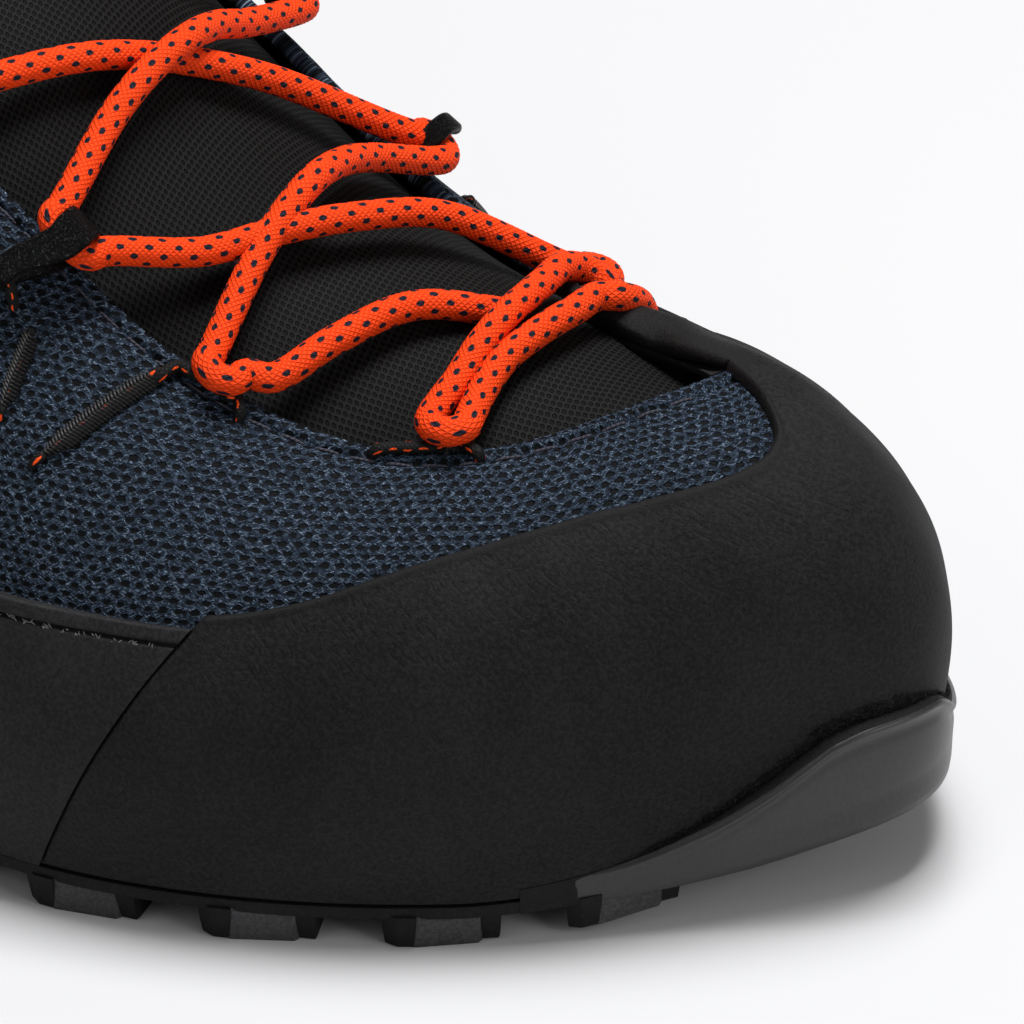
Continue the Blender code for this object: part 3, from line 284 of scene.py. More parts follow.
@dataclass
class Last:
    """The upper's surface and the sizes that its layers share, as the solids have them."""

    length: float = 0.300
    ball: float = 0.106
    collar: float = 0.093
    toe_spring: float = 0.0085
    heel_rise: float = 0.0030
    spring_start: float = 0.85
    lug_depth: float = 0.0042
    sole_base: float = 0.0016
    mid_front: float = 0.0009
    mid_heel: float = 0.0120
    footbed: float = 0.0040
    wall: float = 0.0020
    rand: float = 0.0011
    rand_lift: float = 0.0011
    tab: float = 0.0020
    tab_length: float = 0.0195
    bumper: float = 0.0019
    counter: float = 0.0012
    pad: float = 0.0050
    tongue: float = 0.0045
    tongue_crown: float = 0.0062
    tongue_rise: float = 0.0190
    lace: float = 0.0040
    cord: float = 0.0014
    strap: float = 0.0014
    strap_width: float = 0.0053
    loop_reach: float = 0.0085
    bar_width: float = 0.0042
    bar_length: float = 0.0190
    bar_lean: float = 0.38
    lug_pitch: float = 0.0220
    lug_length: float = 0.0150
    lug_reach: float = 0.0170
    pull_width: float = 0.0150
    pull_rise: float = 0.0100
    tuck: float = 0.0011
    gap: float = 0.00035
    fit: float = 0.0003
    shift: Array = field(default_factory=lambda: np.zeros(3))

    def __post_init__(self) -> None:
        """Make the curves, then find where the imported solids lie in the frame."""
        self.curves = [round_spline([row[k] for row in SECTIONS]) for k in range(9)]
        marks = [i + k / count for i, count in enumerate(COLUMNS) for k in range(count)]
        uu, tt = np.meshgrid(marks, LEVELS, indexing="ij")
        shell = np.concatenate([self.skin(uu, tt, 0 * uu), self.skin(uu, tt, 0 * uu - self.wall)])
        low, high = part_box("upper")
        middle = (shell.reshape(-1, 3).min(0) + shell.reshape(-1, 3).max(0)) / 2
        self.shift = (np.array(low) + np.array(high)) / 2 - middle

    @property
    def sole_out(self) -> float:
        """How far the sole's edge lies outside the sole line."""
        return self.gap + self.rand

    @property
    def bend(self) -> float:
        """Radius of the lace's turn round a cord."""
        return 0.60 * self.lace

    def sole_lift(self, x: Array) -> Array:
        """Height of the tread above the floor."""
        share = np.asarray(x, float) / self.length
        toe = np.clip((share - self.spring_start) / (0.99 - self.spring_start), 0, 1.2)
        heel = np.clip((0.10 - share) / 0.10, 0, 1)
        return self.toe_spring * toe ** 1.5 + self.heel_rise * heel ** 2

    def tread_top(self, x: Array) -> Array:
        """Underside of the outsole plate."""
        return self.sole_lift(x) + self.lug_depth

    def outsole_top(self, x: Array) -> Array:
        """Upper face of the outsole plate."""
        return self.tread_top(x) + self.sole_base

    def midsole_top(self, x: Array) -> Array:
        """Upper face of the midsole wedge."""
        share = np.asarray(x, float) / self.length
        wedge = self.mid_front + (self.mid_heel - self.mid_front) * smooth((0.62 - share) / 0.36)
        return self.outsole_top(x) + self.fit + wedge

    def base(self, u: Array) -> tuple[Array, Array, Array, Array]:
        """Point and outward direction of the sole line at a station."""
        along, across = self.curves[0], self.curves[1]
        d = 0.001
        tx = (along(u + d) - along(u - d)) * self.length
        ty = (across(u + d) - across(u - d)) * self.ball
        n = np.hypot(tx, ty)
        return along(u) * self.length, across(u) * self.ball, ty / n, -tx / n

    def upper(self, u: Array, t: Array) -> Array:
        """Point of the mesh upper's outer surface."""
        u, t = np.broadcast_arrays(np.asarray(u, float), np.asarray(t, float))
        c = self.curves
        x, y, nx, ny = self.base(u)
        low = np.stack([x, y, self.midsole_top(x) + self.fit], -1)
        sole_line = self.lug_depth + self.sole_base + self.mid_front + 2 * self.fit
        rim = np.stack([
            c[2](u) * self.length, c[3](u) * self.ball, sole_line + c[4](u) * self.collar,
        ], -1)
        side = low - rim
        side[..., 2] = 0
        side /= np.maximum(np.linalg.norm(side, axis=-1, keepdims=True), 1e-9)
        out = np.stack([nx, ny, 0 * nx], -1)
        rise = np.array([0, 0, 1.0])
        first = low + rise * (c[5](u) * self.collar)[..., None]
        first = first + out * (c[6](u) * self.ball)[..., None]
        second = rim + side * (c[7](u) * self.ball)[..., None]
        second = second - rise * (c[8](u) * self.collar)[..., None]
        t = t[..., None]
        return ((1 - t) ** 3 * low + 3 * t * (1 - t) ** 2 * first
                + 3 * t * t * (1 - t) * second + t ** 3 * rim)

    def normal(self, u: Array, t: Array) -> Array:
        """Outward unit normal, level at the sole line."""
        u, t = np.broadcast_arrays(np.asarray(u, float), np.asarray(t, float))
        d = 0.002
        n = np.cross(
            self.upper(u + d, t) - self.upper(u - d, t),
            self.upper(u, t + d) - self.upper(u, t - d),
        )
        n[..., 2] *= smooth(t / 0.12)
        return n / np.linalg.norm(n, axis=-1, keepdims=True)

    def skin(self, u: Array, t: Array, off: Array) -> Array:
        """Point that lies off outside the upper."""
        return self.upper(u, t) + self.normal(u, t) * np.asarray(off, float)[..., None]

    def station(self, curve: int, low: float, high: float, x: float, side: int) -> float:
        """Station between low and high where a curve reaches x.

        Args:
            curve: 0 for the sole line or 2 for the rim.
            low: First station.
            high: Last station.
            x: Distance from the heel.
            side: -1 for the outer side, 1 for the inner side.
        Returns:
            The station.
        """
        for _ in range(40):
            mid = (low + high) / 2
            ahead = self.curves[curve](mid) * self.length > x
            if ahead == (side < 0):
                high = mid
            else:
                low = mid
        return (low + high) / 2

    def rim_station(self, x: float, side: int) -> float:
        """Station on one side of the throat whose rim lies at x."""
        low, high = (4.0, 12.0) if side < 0 else (12.5, 19.0)
        return self.station(2, low, high, x, side)

    def outline_station(self, x: float, side: int) -> float:
        """Station on one side whose sole line lies at x."""
        low, high = (0.0, TOE_TIP) if side < 0 else (TOE_TIP, float(ROUND))
        return self.station(0, low, high, x, side)

    def track(self, u: float, start: float, reach: float) -> float:
        """Level on station u that lies reach away from the level start, down the upper."""
        level = np.linspace(start, start - .5, 120)
        points = self.upper(np.full(120, u), level)
        gone = run_along(points)
        return float(np.interp(reach, gone, level))

    def spot(self, u: float, t: float, off: float) -> Array:
        """One point that lies off outside the upper."""
        return self.skin(np.array([u]), np.array([t]), np.array([off]))[0]

    def facing(self, u: float, t: float) -> Array:
        """Outward unit normal at one point."""
        return self.normal(np.array([u]), np.array([t]))[0]

    def span(self, u: Array, t: Array) -> Array:
        """Metres a unit of level, just below level t."""
        return np.linalg.norm(self.upper(u, t) - self.upper(u, t - .05), axis=-1) / .05

    def rim_gap(self, u: Array, t: Array) -> Array:
        """Distance in metres from a point of the upper up to its rim."""
        span = np.linalg.norm(self.upper(u, 0 * t + 1.0) - self.upper(u, 0 * t + .9), axis=-1)
        return (1 - t) * span * 10

    def on_mesh(self, x: float, side: int, down: float, lift: float) -> Array:
        """Point at x on one side of the throat, down below the rim and lift off the mesh."""
        u = self.rim_station(x, side)
        at = (np.array([u]), np.array([self.track(u, 1.0, down)]))
        return self.upper(*at)[0] + self.normal(*at)[0] * lift

    def cloth(self, u: Array, t: Array) -> Array:
        """Millimetres round and up the upper, for patterns of a constant size."""
        marks = np.linspace(-1, ROUND * 2, 1600)
        line = self.upper(marks, np.full(1600, .75))
        run = run_along(line)
        level = np.linspace(0, 1.05, 36)
        flat_u = np.asarray(u, float)
        columns, back = np.unique(np.round(flat_u, 4), return_inverse=True)
        grid = self.upper(columns[:, None], level[None, :])
        rise = np.cumsum(np.linalg.norm(np.diff(grid, axis=1), axis=2), axis=1)
        rise = np.concatenate([np.zeros((len(columns), 1)), rise], 1)
        place = np.clip(np.asarray(t, float), 0, 1.05) / 1.05 * 35
        low = np.clip(np.floor(place).astype(int), 0, 34)
        part = place - low
        back = back.reshape(flat_u.shape)
        height = rise[back, low] * (1 - part) + rise[back, low + 1] * part
        return np.stack([np.interp(flat_u, marks, run), height], -1) / MM


# Meshes

def lattice(nu: int, nv: int, round_u: bool = False, round_v: bool = False) -> tuple[Array, Array]:
    """Quads of a grid of points.

    Args:
        nu: Points in the first direction.
        nv: Points in the second direction.
        round_u: Whether the first direction closes on itself.
        round_v: Whether the second direction closes on itself.
    Returns:
        The quads as point numbers, and as numbers in the unrolled grid of their UVs.
    """
    a, b = np.meshgrid(
        np.arange(nu if round_u else nu - 1), np.arange(nv if round_v else nv - 1), indexing="ij",
    )
    a, b = a.ravel(), b.ravel()

    def place(x: Array, y: Array) -> Array:
        """Point number of a grid corner."""
        return (x % nu) * nv + (y % nv)

    wide = nv + int(round_v)
    quads = np.stack([place(a, b), place(a + 1, b), place(a + 1, b + 1), place(a, b + 1)], 1)
    start = a * wide + b
    return quads, np.stack([start, start + wide, start + wide + 1, start + 1], 1)


@dataclass
class Shape:
    """Points, faces and UVs of one piece while it is made."""

    points: list[Array] = field(default_factory=list)
    faces: list[Array] = field(default_factory=list)
    uvs: list[Array] = field(default_factory=list)
    slots: list[Array] = field(default_factory=list)
    count: int = 0

    def add(self, points: Array, faces: Array, uv: Array | None = None, slot: int = 0) -> None:
        """Add points with faces of one corner count.

        Args:
            points: Rows of points.
            faces: Rows of point numbers within these points.
            uv: One UV a face corner, or None.
            slot: Material slot of the faces.
        """
        points = np.asarray(points, float).reshape(-1, 3)
        faces = np.asarray(faces, int)
        if uv is None:
            uv = np.zeros((*faces.shape, 2))
        self.points.append(points)
        self.faces.append(faces + self.count)
        self.uvs.append(np.asarray(uv, float).reshape(*faces.shape, 2))
        self.slots.append(np.full(len(faces), slot))
        self.count += len(points)

    def grid(
        self, points: Array, uv: Array | None = None, slot: int = 0,
        round_u: bool = False, round_v: bool = False, keep: Array | None = None, flip: bool = False,
    ) -> None:
        """Add a grid of points; uv belongs to the unrolled grid.

        Args:
            points: Grid of points.
            uv: Grid of UVs, one row or column more where the grid is round.
            slot: Material slot of the faces.
            round_u: Whether the first direction closes on itself.
            round_v: Whether the second direction closes on itself.
            keep: Which cells exist.
            flip: Whether the faces look the other way.
        """
        nu, nv = points.shape[:2]
        quads, flat = lattice(nu, nv, round_u, round_v)
        if keep is not None:
            quads, flat = quads[keep.ravel()], flat[keep.ravel()]
        if flip:
            quads, flat = quads[:, ::-1], flat[:, ::-1]
        corner = None if uv is None else uv.reshape(-1, 2)[flat]
        self.add(points.reshape(-1, 3), quads, corner, slot)

    def rim(self, outer: Array, inner: Array, keep: Array | None = None) -> None:
        """Close the open border between the two faces of a sheet.

        Args:
            outer: Grid of its outer face.
            inner: Grid of its inner face.
            keep: Which cells exist.
        """
        nu, nt = outer.shape[:2]
        quads, _ = lattice(nu, nt)
        if keep is not None:
            quads = quads[keep.ravel()]
        ahead = np.concatenate([np.stack([quads[:, k], quads[:, (k + 1) % 4]], 1) for k in range(4)])
        code = ahead[:, 0] * nu * nt + ahead[:, 1]
        back = ahead[:, 1] * nu * nt + ahead[:, 0]
        a, b = ahead[~np.isin(code, back)].T
        flat_out, flat_in = outer.reshape(-1, 3), inner.reshape(-1, 3)
        points = np.stack([flat_out[b], flat_out[a], flat_in[a], flat_in[b]], 1).reshape(-1, 3)
        self.add(points, np.arange(len(points)).reshape(-1, 4))

    def sheet(self, outer: Array, inner: Array, uv: Array | None = None) -> None:
        """Add a closed sheet between two faces.

        Args:
            outer: Grid of its outer face.
            inner: Grid of its inner face.
            uv: Grid of UVs of both.
        """
        self.grid(outer, uv)
        self.grid(inner, uv, flip=True)
        self.rim(outer, inner)

    def cap(self, ring: Array, slot: int = 0) -> None:
        """Close a ring of points with a fan."""
        n = len(ring)
        points = np.concatenate([ring, ring.mean(0, keepdims=True)])
        k = np.arange(n)
        self.add(points, np.stack([k, (k + 1) % n, np.full(n, n)], 1), None, slot)

    def tube(
        self, path: Array, radius: float, sides: int,
        relief: Callable[[Array, Array], Array] | None = None,
    ) -> None:
        """Add a round tube with closed, rounded ends.

        Args:
            path: Points of the centre line.
            radius: Its radius.
            sides: Points round the tube.
            relief: Extra radius from the turn (0 to 1) and the run in millimetres.
        """
        a, b = steady_frames(path)
        run = run_along(path)
        end = np.minimum(run, run[-1] - run) / radius
        r = radius * np.sqrt(np.clip(1 - np.clip(1 - end, 0, .97) ** 2, 0.02, 1))
        turn = np.arange(sides) / sides
        wide = r[:, None] + (relief(turn[None, :], run[:, None] / MM) if relief else 0)
        angle = 2 * np.pi * turn
        grid = (path[:, None] + a[:, None] * (wide * np.cos(angle))[..., None]
                + b[:, None] * (wide * np.sin(angle))[..., None])
        u, v = np.meshgrid(run / MM, np.arange(sides + 1) / sides, indexing="ij")
        self.grid(grid, np.stack([v, u], -1), round_v=True)
        self.cap(grid[0][::-1])
        self.cap(grid[-1])

    def band(self, path: Array, across: Array, up: Array, width: float, thick: float) -> None:
        """Add a closed ring of flat strap with rounded edges.

        Args:
            path: Points of the centre line.
            across: Direction of the width at each point.
            up: Direction of the thickness at each point.
            width: Width of the strap.
            thick: Thickness of the strap.
        """
        h = thick / 2
        w = width / 2 - h
        ring = []
        for sx, start in ((1, -90), (-1, 90)):
            for k in range(7):
                turn = math.radians(start + 30 * k)
                ring.append((sx * w + h * math.cos(turn), h * math.sin(turn)))
        flats = [(x, -h) for x in np.linspace(-w, w, 7)[1:-1]]
        top = [(x, h) for x in np.linspace(w, -w, 7)[1:-1]]
        profile = np.array(ring[:7] + top + ring[7:] + flats)
        grid = (path[:, None] + across[:, None] * profile[None, :, :1]
                + up[:, None] * profile[None, :, 1:])
        turns = np.concatenate([profile, profile[:1]])
        run = run_along(np.concatenate([path, path[:1]]))
        uv = np.stack(np.broadcast_arrays(turns[None, :, 0] / MM, run[:, None] / MM), -1)
        self.grid(grid, uv, round_u=True, round_v=True)

    def make(
        self, name: str, shift: Array, materials: Sequence[bpy.types.Material],
        angle: float = 50.0, weld: bool = False,
    ) -> bpy.types.Object:
        """Make the object in the row frame.

        Args:
            name: Name of the object.
            shift: What to add to each point.
            materials: Materials of the slots.
            angle: Edges sharper than this stay sharp, in degrees.
            weld: Whether to join points that coincide.
        Returns:
            The new object.
        """
        mesh = bpy.data.meshes.new(name)
        points = np.concatenate(self.points) + shift
        mesh.vertices.add(len(points))
        mesh.vertices.foreach_set("co", points.astype(np.float32).ravel())
        total = np.concatenate([np.full(len(f), f.shape[1]) for f in self.faces])
        loops = np.concatenate([f.ravel() for f in self.faces])
        mesh.loops.add(len(loops))
        mesh.loops.foreach_set("vertex_index", loops.astype(np.int32))
        mesh.polygons.add(len(total))
        start = np.concatenate([[0], np.cumsum(total)[:-1]])
        mesh.polygons.foreach_set("loop_start", start.astype(np.int32))
        mesh.polygons.foreach_set("material_index", np.concatenate(self.slots).astype(np.int32))
        mesh.update(calc_edges=True)
        layer = mesh.uv_layers.new(name="UVMap")
        uv = np.concatenate([u.reshape(-1, 2) for u in self.uvs])
        layer.data.foreach_set("uv", uv.astype(np.float32).ravel())
        for material in materials:
            mesh.materials.append(material)
        if weld:
            bm = bmesh.new()
            bm.from_mesh(mesh)
            bmesh.ops.remove_doubles(bm, verts=bm.verts, dist=2e-6)
            bmesh.ops.recalc_face_normals(bm, faces=bm.faces)
            bm.to_mesh(mesh)
            bm.free()
        mesh.shade_smooth()
        mesh.set_sharp_from_angle(angle=math.radians(angle))
        obj = bpy.data.objects.new(name, mesh)
        bpy.context.scene.collection.objects.link(obj)
        return obj


# Shader graphs

class Signal:
    """A number in a shader graph; arithmetic on it adds Math nodes."""

    def __init__(self, graph: "Graph", socket: bpy.types.NodeSocket) -> None:
        """Wrap one output socket of a graph."""
        self.graph = graph
        self.socket = socket

    def __add__(self, other: "Signal | float") -> "Signal":
        """Sum."""
        return self.graph.math("ADD", self, other)

    def __sub__(self, other: "Signal | float") -> "Signal":
        """Difference."""
        return self.graph.math("SUBTRACT", self, other)

    def __mul__(self, other: "Signal | float") -> "Signal":
        """Product."""
        return self.graph.math("MULTIPLY", self, other)

    def floor(self) -> "Signal":
        """Whole part."""
        return self.graph.math("FLOOR", self)

    def __truediv__(self, size: float) -> "Signal":
        """Share of a size."""
        return self * (1 / size)

    def rest(self) -> "Signal":
        """What is left up to 1."""
        return self * -1.0 + 1.0

    def part(self) -> "Signal":
        """Fraction."""
        return self.graph.math("FRACT", self)

    def wrap(self, size: float) -> "Signal":
        """Remainder from 0 to size."""
        return self.graph.math("FLOORED_MODULO", self, size)

    def size(self) -> "Signal":
        """Absolute value."""
        return self.graph.math("ABSOLUTE", self)

    def most(self, other: "Signal | float") -> "Signal":
        """The larger of two."""
        return self.graph.math("MAXIMUM", self, other)

    def wave(self) -> "Signal":
        """Sine of a full turn a unit, from 0 to 1."""
        return self.graph.math("SINE", self * (2 * math.pi)) * 0.5 + 0.5

    def ramp(self, low: float, high: float) -> "Signal":
        """0 at low and 1 at high, eased."""
        node = self.graph.node("ShaderNodeMapRange")
        node.interpolation_type = "SMOOTHSTEP"
        self.graph.link(self.socket, node.inputs["Value"])
        node.inputs["From Min"].default_value = low
        node.inputs["From Max"].default_value = high
        return Signal(self.graph, node.outputs["Result"])


class Graph:
    """Shader graph of one material, with its surface shader."""

    def __init__(self, name: str) -> None:
        """Make an empty material with a surface shader."""
        self.material = bpy.data.materials.new(name)
        self.material.use_nodes = True
        self.tree = self.material.node_tree
        self.shader = self.tree.nodes["Principled BSDF"]

    def node(self, kind: str) -> bpy.types.Node:
        """Add one node."""
        return self.tree.nodes.new(kind)

    def link(self, source: bpy.types.NodeSocket, target: bpy.types.NodeSocket) -> None:
        """Connect two sockets."""
        self.tree.links.new(source, target)

    def math(self, kind: str, a: "Signal | float", b: "Signal | float | None" = None) -> Signal:
        """Add a Math node.

        Args:
            kind: Its operation.
            a: First number.
            b: Second number, where it has one.
        Returns:
            The result.
        """
        node = self.node("ShaderNodeMath")
        node.operation = kind
        for socket, value in zip(node.inputs, (a, b)):
            if isinstance(value, Signal):
                self.link(value.socket, socket)
            elif value is not None:
                socket.default_value = value
        return Signal(self, node.outputs[0])

    def uv(self) -> tuple[Signal, Signal]:
        """The piece's own coordinates."""
        source = self.node("ShaderNodeUVMap")
        source.uv_map = "UVMap"
        split = self.node("ShaderNodeSeparateXYZ")
        self.link(source.outputs["UV"], split.inputs["Vector"])
        return Signal(self, split.outputs["X"]), Signal(self, split.outputs["Y"])

    def solid(self) -> tuple[Signal, Signal, Signal]:
        """The piece's place in millimetres."""
        source = self.node("ShaderNodeTexCoord")
        split = self.node("ShaderNodeSeparateXYZ")
        self.link(source.outputs["Object"], split.inputs["Vector"])
        return tuple(Signal(self, split.outputs[k]) * (1 / MM) for k in "XYZ")

    def noise(self, *place: Signal, detail: float = 2.0, rough: float = 0.5) -> Signal:
        """Noise from 0 to 1, about one bump a unit.

        Args:
            place: Two or three coordinates.
            detail: Layers of finer noise.
            rough: Strength of the finer layers.
        Returns:
            The noise.
        """
        join = self.node("ShaderNodeCombineXYZ")
        for socket, value in zip(join.inputs, place):
            self.link(value.socket, socket)
        texture = self.node("ShaderNodeTexNoise")
        texture.inputs["Scale"].default_value = 1.0
        texture.inputs["Detail"].default_value = detail
        texture.inputs["Roughness"].default_value = rough
        self.link(join.outputs[0], texture.inputs["Vector"])
        return Signal(self, texture.outputs["Fac"])

    def cloud(self, pitch: float, detail: float = 2.0, rough: float = 0.5) -> Signal:
        """Noise in the piece's place, pitch bumps a millimetre."""
        return self.noise(*(k * pitch for k in self.solid()), detail=detail, rough=rough)

    def mix(self, share: Signal, low: "Tint | bpy.types.NodeSocket", high: "Tint") -> bpy.types.NodeSocket:
        """Blend from one colour to another.

        Args:
            share: 0 for low and 1 for high.
            low: First colour, or the output of another blend.
            high: Second colour.
        Returns:
            The blended colour.
        """
        node = self.node("ShaderNodeMix")
        node.data_type = "RGBA"
        self.link(share.socket, node.inputs[0])
        for socket, value in ((node.inputs[6], low), (node.inputs[7], high)):
            if isinstance(value, bpy.types.NodeSocket):
                self.link(value, socket)
            else:
                socket.default_value = (*value, 1)
        return node.outputs[2]

    def bump(self, height: Signal, depth: float) -> None:
        """Relief from a height of 0 to 1.

        Args:
            height: The height.
            depth: Real depth in metres.
        """
        node = self.node("ShaderNodeBump")
        node.inputs["Strength"].default_value = 1.0
        node.inputs["Distance"].default_value = depth
        self.link(height.socket, node.inputs["Height"])
        if self.shader.inputs["Normal"].is_linked:
            self.link(self.shader.inputs["Normal"].links[0].from_socket, node.inputs["Normal"])
        self.link(node.outputs["Normal"], self.shader.inputs["Normal"])

    def set(self, **values: "Signal | bpy.types.NodeSocket | float | Tint") -> None:
        """Set the surface shader's inputs by their names, with _ for a space."""
        for key, value in values.items():
            socket = self.shader.inputs[key.replace("_", " ")]
            if isinstance(value, Signal):
                self.link(value.socket, socket)
            elif isinstance(value, bpy.types.NodeSocket):
                self.link(value, socket)
            elif isinstance(value, tuple):
                socket.default_value = (*value, 1)
            else:
                socket.default_value = value


Tint = tuple[float, float, float]


# Finishes

@dataclass(frozen=True)
class Finish:
    """A finish that dresses one material."""

    name: str

    def dress(self, g: Graph) -> None:
        """Set the colour and the relief."""
        raise NotImplementedError

    def build(self) -> bpy.types.Material:
        """Make the material."""
        g = Graph(self.name)
        self.dress(g)
        return g.material


@dataclass(frozen=True)
class RubberFinish(Finish):
    """Rubber with a fine grain, and stretch lines where it was pulled over the toe."""

    dark: Tint = (0.0012, 0.0012, 0.0013)
    light: Tint = (0.0165, 0.0163, 0.0174)
    roughness: float = 0.60
    gloss: float = 0.15
    stretch: float = 0.0
    stretch_pitch: float = 0.95
    grain: float = 0.00020
    dust: float = 0.05

    def dress(self, g: Graph) -> None:
        """Set the colour and the relief."""
        u, v = g.uv()
        cloud = g.cloud(0.06, detail=3)
        fine = g.cloud(1.9, detail=4, rough=0.80)
        speck = g.cloud(2.8, detail=4, rough=0.85)
        shade = g.mix(cloud.ramp(0.3, 0.75) * 0.3 + fine.ramp(0.38, 0.64) * 0.7, self.dark, self.light)
        shade = g.mix(speck.ramp(0.66, 0.78) * self.dust, shade, (0.16, 0.155, 0.15))
        g.set(Base_Color=shade, Roughness=fine * 0.14 + (self.roughness - 0.07))
        g.bump(fine, self.grain)
        if self.stretch:
            sway = g.noise(u * 0.16, v * 0.16, detail=2)
            line = (v * 0.66 + u * 0.75) * (1 / self.stretch_pitch) + sway * 2.0
            broken = g.noise(u * 0.30, v * 0.6, detail=2).ramp(0.40, 0.66)
            g.bump(line.wave().ramp(0.55, 1.0) * (broken * 0.9 + 0.1) * -1.0, self.stretch)
        g.set(Specular_IOR_Level=self.gloss)


@dataclass(frozen=True)
class NavyMesh(Finish):
    """Knitted sandwich mesh: slanted navy loops round staggered dark holes, with painted glints on the loops.
    """

    name: str = "navy_mesh"
    hole_u: float = 1.86
    hole_v: float = 1.24
    yarn: Tint = (0.0175, 0.0310, 0.0530)
    glint_tint: Tint = (0.33, 0.42, 0.54)
    hole: Tint = (0.0005, 0.0008, 0.0014)

    def dress(self, g: Graph) -> None:
        """Set the colour and the relief."""
        u, v = g.uv()
        a = u / self.hole_u + g.noise(u * 0.05, v * 0.05, detail=1) * 1.6
        b = v / self.hole_v + g.noise(u * 0.05 + 7.3, v * 0.05, detail=1) * 1.4
        row = b.floor()
        a = a + row.wrap(2.0) * 0.5
        jitter = g.noise(u * 0.7, v * 0.7, detail=1) - 0.5
        fx = (a.part() - 0.5 + jitter * 0.14) * self.hole_u
        fy = (b.part() - 0.5 - jitter * 0.11) * self.hole_v
        away = g.math("SQRT", fx * fx * 0.40 + fy * fy)
        even = row.wrap(2.0).rest()
        radius = even * (a.floor() + row * 0.5).wrap(2.0).rest() * 0.04 + 0.27 + jitter * 0.18
        fray = g.noise(u * 3.0, v * 4.5, detail=2, rough=0.7) - 0.5
        ground = (away + fray * 0.30 - radius).ramp(-0.05, 0.15)
        side = row.wrap(2.0) * 2.0 - 1.0
        stroke_a = g.noise(u * 0.9, (v + side * u * 0.42) * 4.4, detail=3, rough=0.6)
        stroke_b = g.noise(u * 1.5, (v - side * u * 0.60) * 3.4, detail=2, rough=0.6)
        loops = stroke_a.most(stroke_b)
        fuzz = g.noise(u * 6.5, v * 7.5, detail=2, rough=0.8)
        shade = g.mix(loops.ramp(0.42, 0.62), self.hole, self.yarn)
        # Painted highlight: pale glints where the loops crest, mixed towards the glint tint.
        glint = loops.ramp(0.55, 0.72) * fuzz.ramp(0.42, 0.66)
        shade = g.mix(glint, shade, self.glint_tint)
        lilac = g.noise(u * 1.1 + 3.0, v * 1.7, detail=2).ramp(0.56, 0.72) * loops.ramp(0.5, 0.7)
        shade = g.mix(lilac * 0.35, shade, (0.14, 0.13, 0.22))
        shade = g.mix(ground.rest(), shade, self.hole)
        g.set(Base_Color=shade, Roughness=0.70, Specular_IOR_Level=0.10)
        g.bump(ground * (loops * 0.6 + 0.4), 0.00048)


@dataclass(frozen=True)
class AirMesh(Finish):
    """Black spacer mesh with rows of long six-sided holes."""

    name: str = "air_mesh"
    pitch_u: float = 1.16
    pitch_v: float = 0.66
    turn: float = 34.0
    yarn: Tint = (0.0094, 0.0092, 0.0090)
    hole: Tint = (0.0004, 0.0004, 0.0004)

    def dress(self, g: Graph) -> None:
        """Set the colour and the relief."""
        u0, v0 = g.uv()
        c, s = math.cos(math.radians(self.turn)), math.sin(math.radians(self.turn))
        sway = g.noise(u0 * 0.03, v0 * 0.03, detail=1) * 1.2
        u = u0 * c + v0 * s + sway
        v = v0 * c - u0 * s + sway
        row = (v / self.pitch_v).floor()
        fx = ((u / self.pitch_u + row.wrap(2.0) * 0.5).part() - 0.5).size() * self.pitch_u
        fy = ((v / self.pitch_v).part() - 0.5).size() * self.pitch_v
        slope = fx * 0.55 + fy * 1.05
        thread = slope.most(fx * 0.98).most(fy * 1.1)
        wear = g.noise(u0 * 1.3, v0 * 1.3, detail=2)
        yarn = (thread + wear * 0.06).ramp(0.27, 0.40)
        fuzz = g.noise(u0 * 7.0, v0 * 7.0, detail=2, rough=0.8)
        shade = g.mix(yarn * (fuzz * 0.7 + 0.5), self.hole, self.yarn)
        # Painted highlight: pale glints on the threads where the fuzz noise peaks.
        shade = g.mix(fuzz.ramp(0.60, 0.80) * yarn * 0.35, shade, (0.07, 0.07, 0.072))
        g.set(Base_Color=shade, Roughness=0.70, Specular_IOR_Level=0.10)
        g.bump(yarn, 0.00026)


@dataclass(frozen=True)
class BraidFinish(Finish):
    """Round braid of small stitches, with flecks of another yarn in staggered rows, and painted shade in the
    seams between the stitches.
    """

    yarn: Tint
    shade: Tint
    fleck: Tint
    round_mm: float
    turns: int
    cell: float
    rows: int
    every: float
    fleck_long: float
    fleck_wide: float
    relief: float = 0.00010

    def dress(self, g: Graph) -> None:
        """Set the colour and the relief."""
        turn, run = g.uv()
        a = turn * float(self.turns) + run / self.cell
        b = turn * float(self.turns) - run / self.cell
        far = (a.part() - 0.5).size().most((b.part() - 0.5).size())
        seam = far.ramp(0.16, 0.52)
        line = turn * float(self.rows)
        row = (line + 0.5).floor()
        sway = g.noise(turn * 9.0, run * 1.4, detail=1) * 0.10
        along = (run / self.every + row * 0.5 + sway).part() - 0.5
        along = along * (self.every / self.fleck_long * 2)
        across = (line - row) * (self.round_mm / self.rows / self.fleck_wide * 2)
        spot = g.math("SQRT", along * along + across * across)
        spot = spot + g.noise(turn * 30.0, run * 2.6, detail=2) * 0.5
        inside = spot.ramp(1.42, 1.12)
        hair = g.noise(turn * self.round_mm * 5.0, run * 5.0, detail=3, rough=0.75)
        # Painted shade: the seams between the braid's cells are mixed towards the shade tint; the hair noise
        # adds real variation.
        shade = g.mix(seam * 0.55 + hair.ramp(0.40, 0.75) * 0.30, self.yarn, self.shade)
        shade = g.mix(inside, shade, self.fleck)
        g.set(Base_Color=shade, Roughness=0.66, Specular_IOR_Level=0.16)
        g.bump(seam.rest() * 0.85 + hair * 0.15, self.relief)


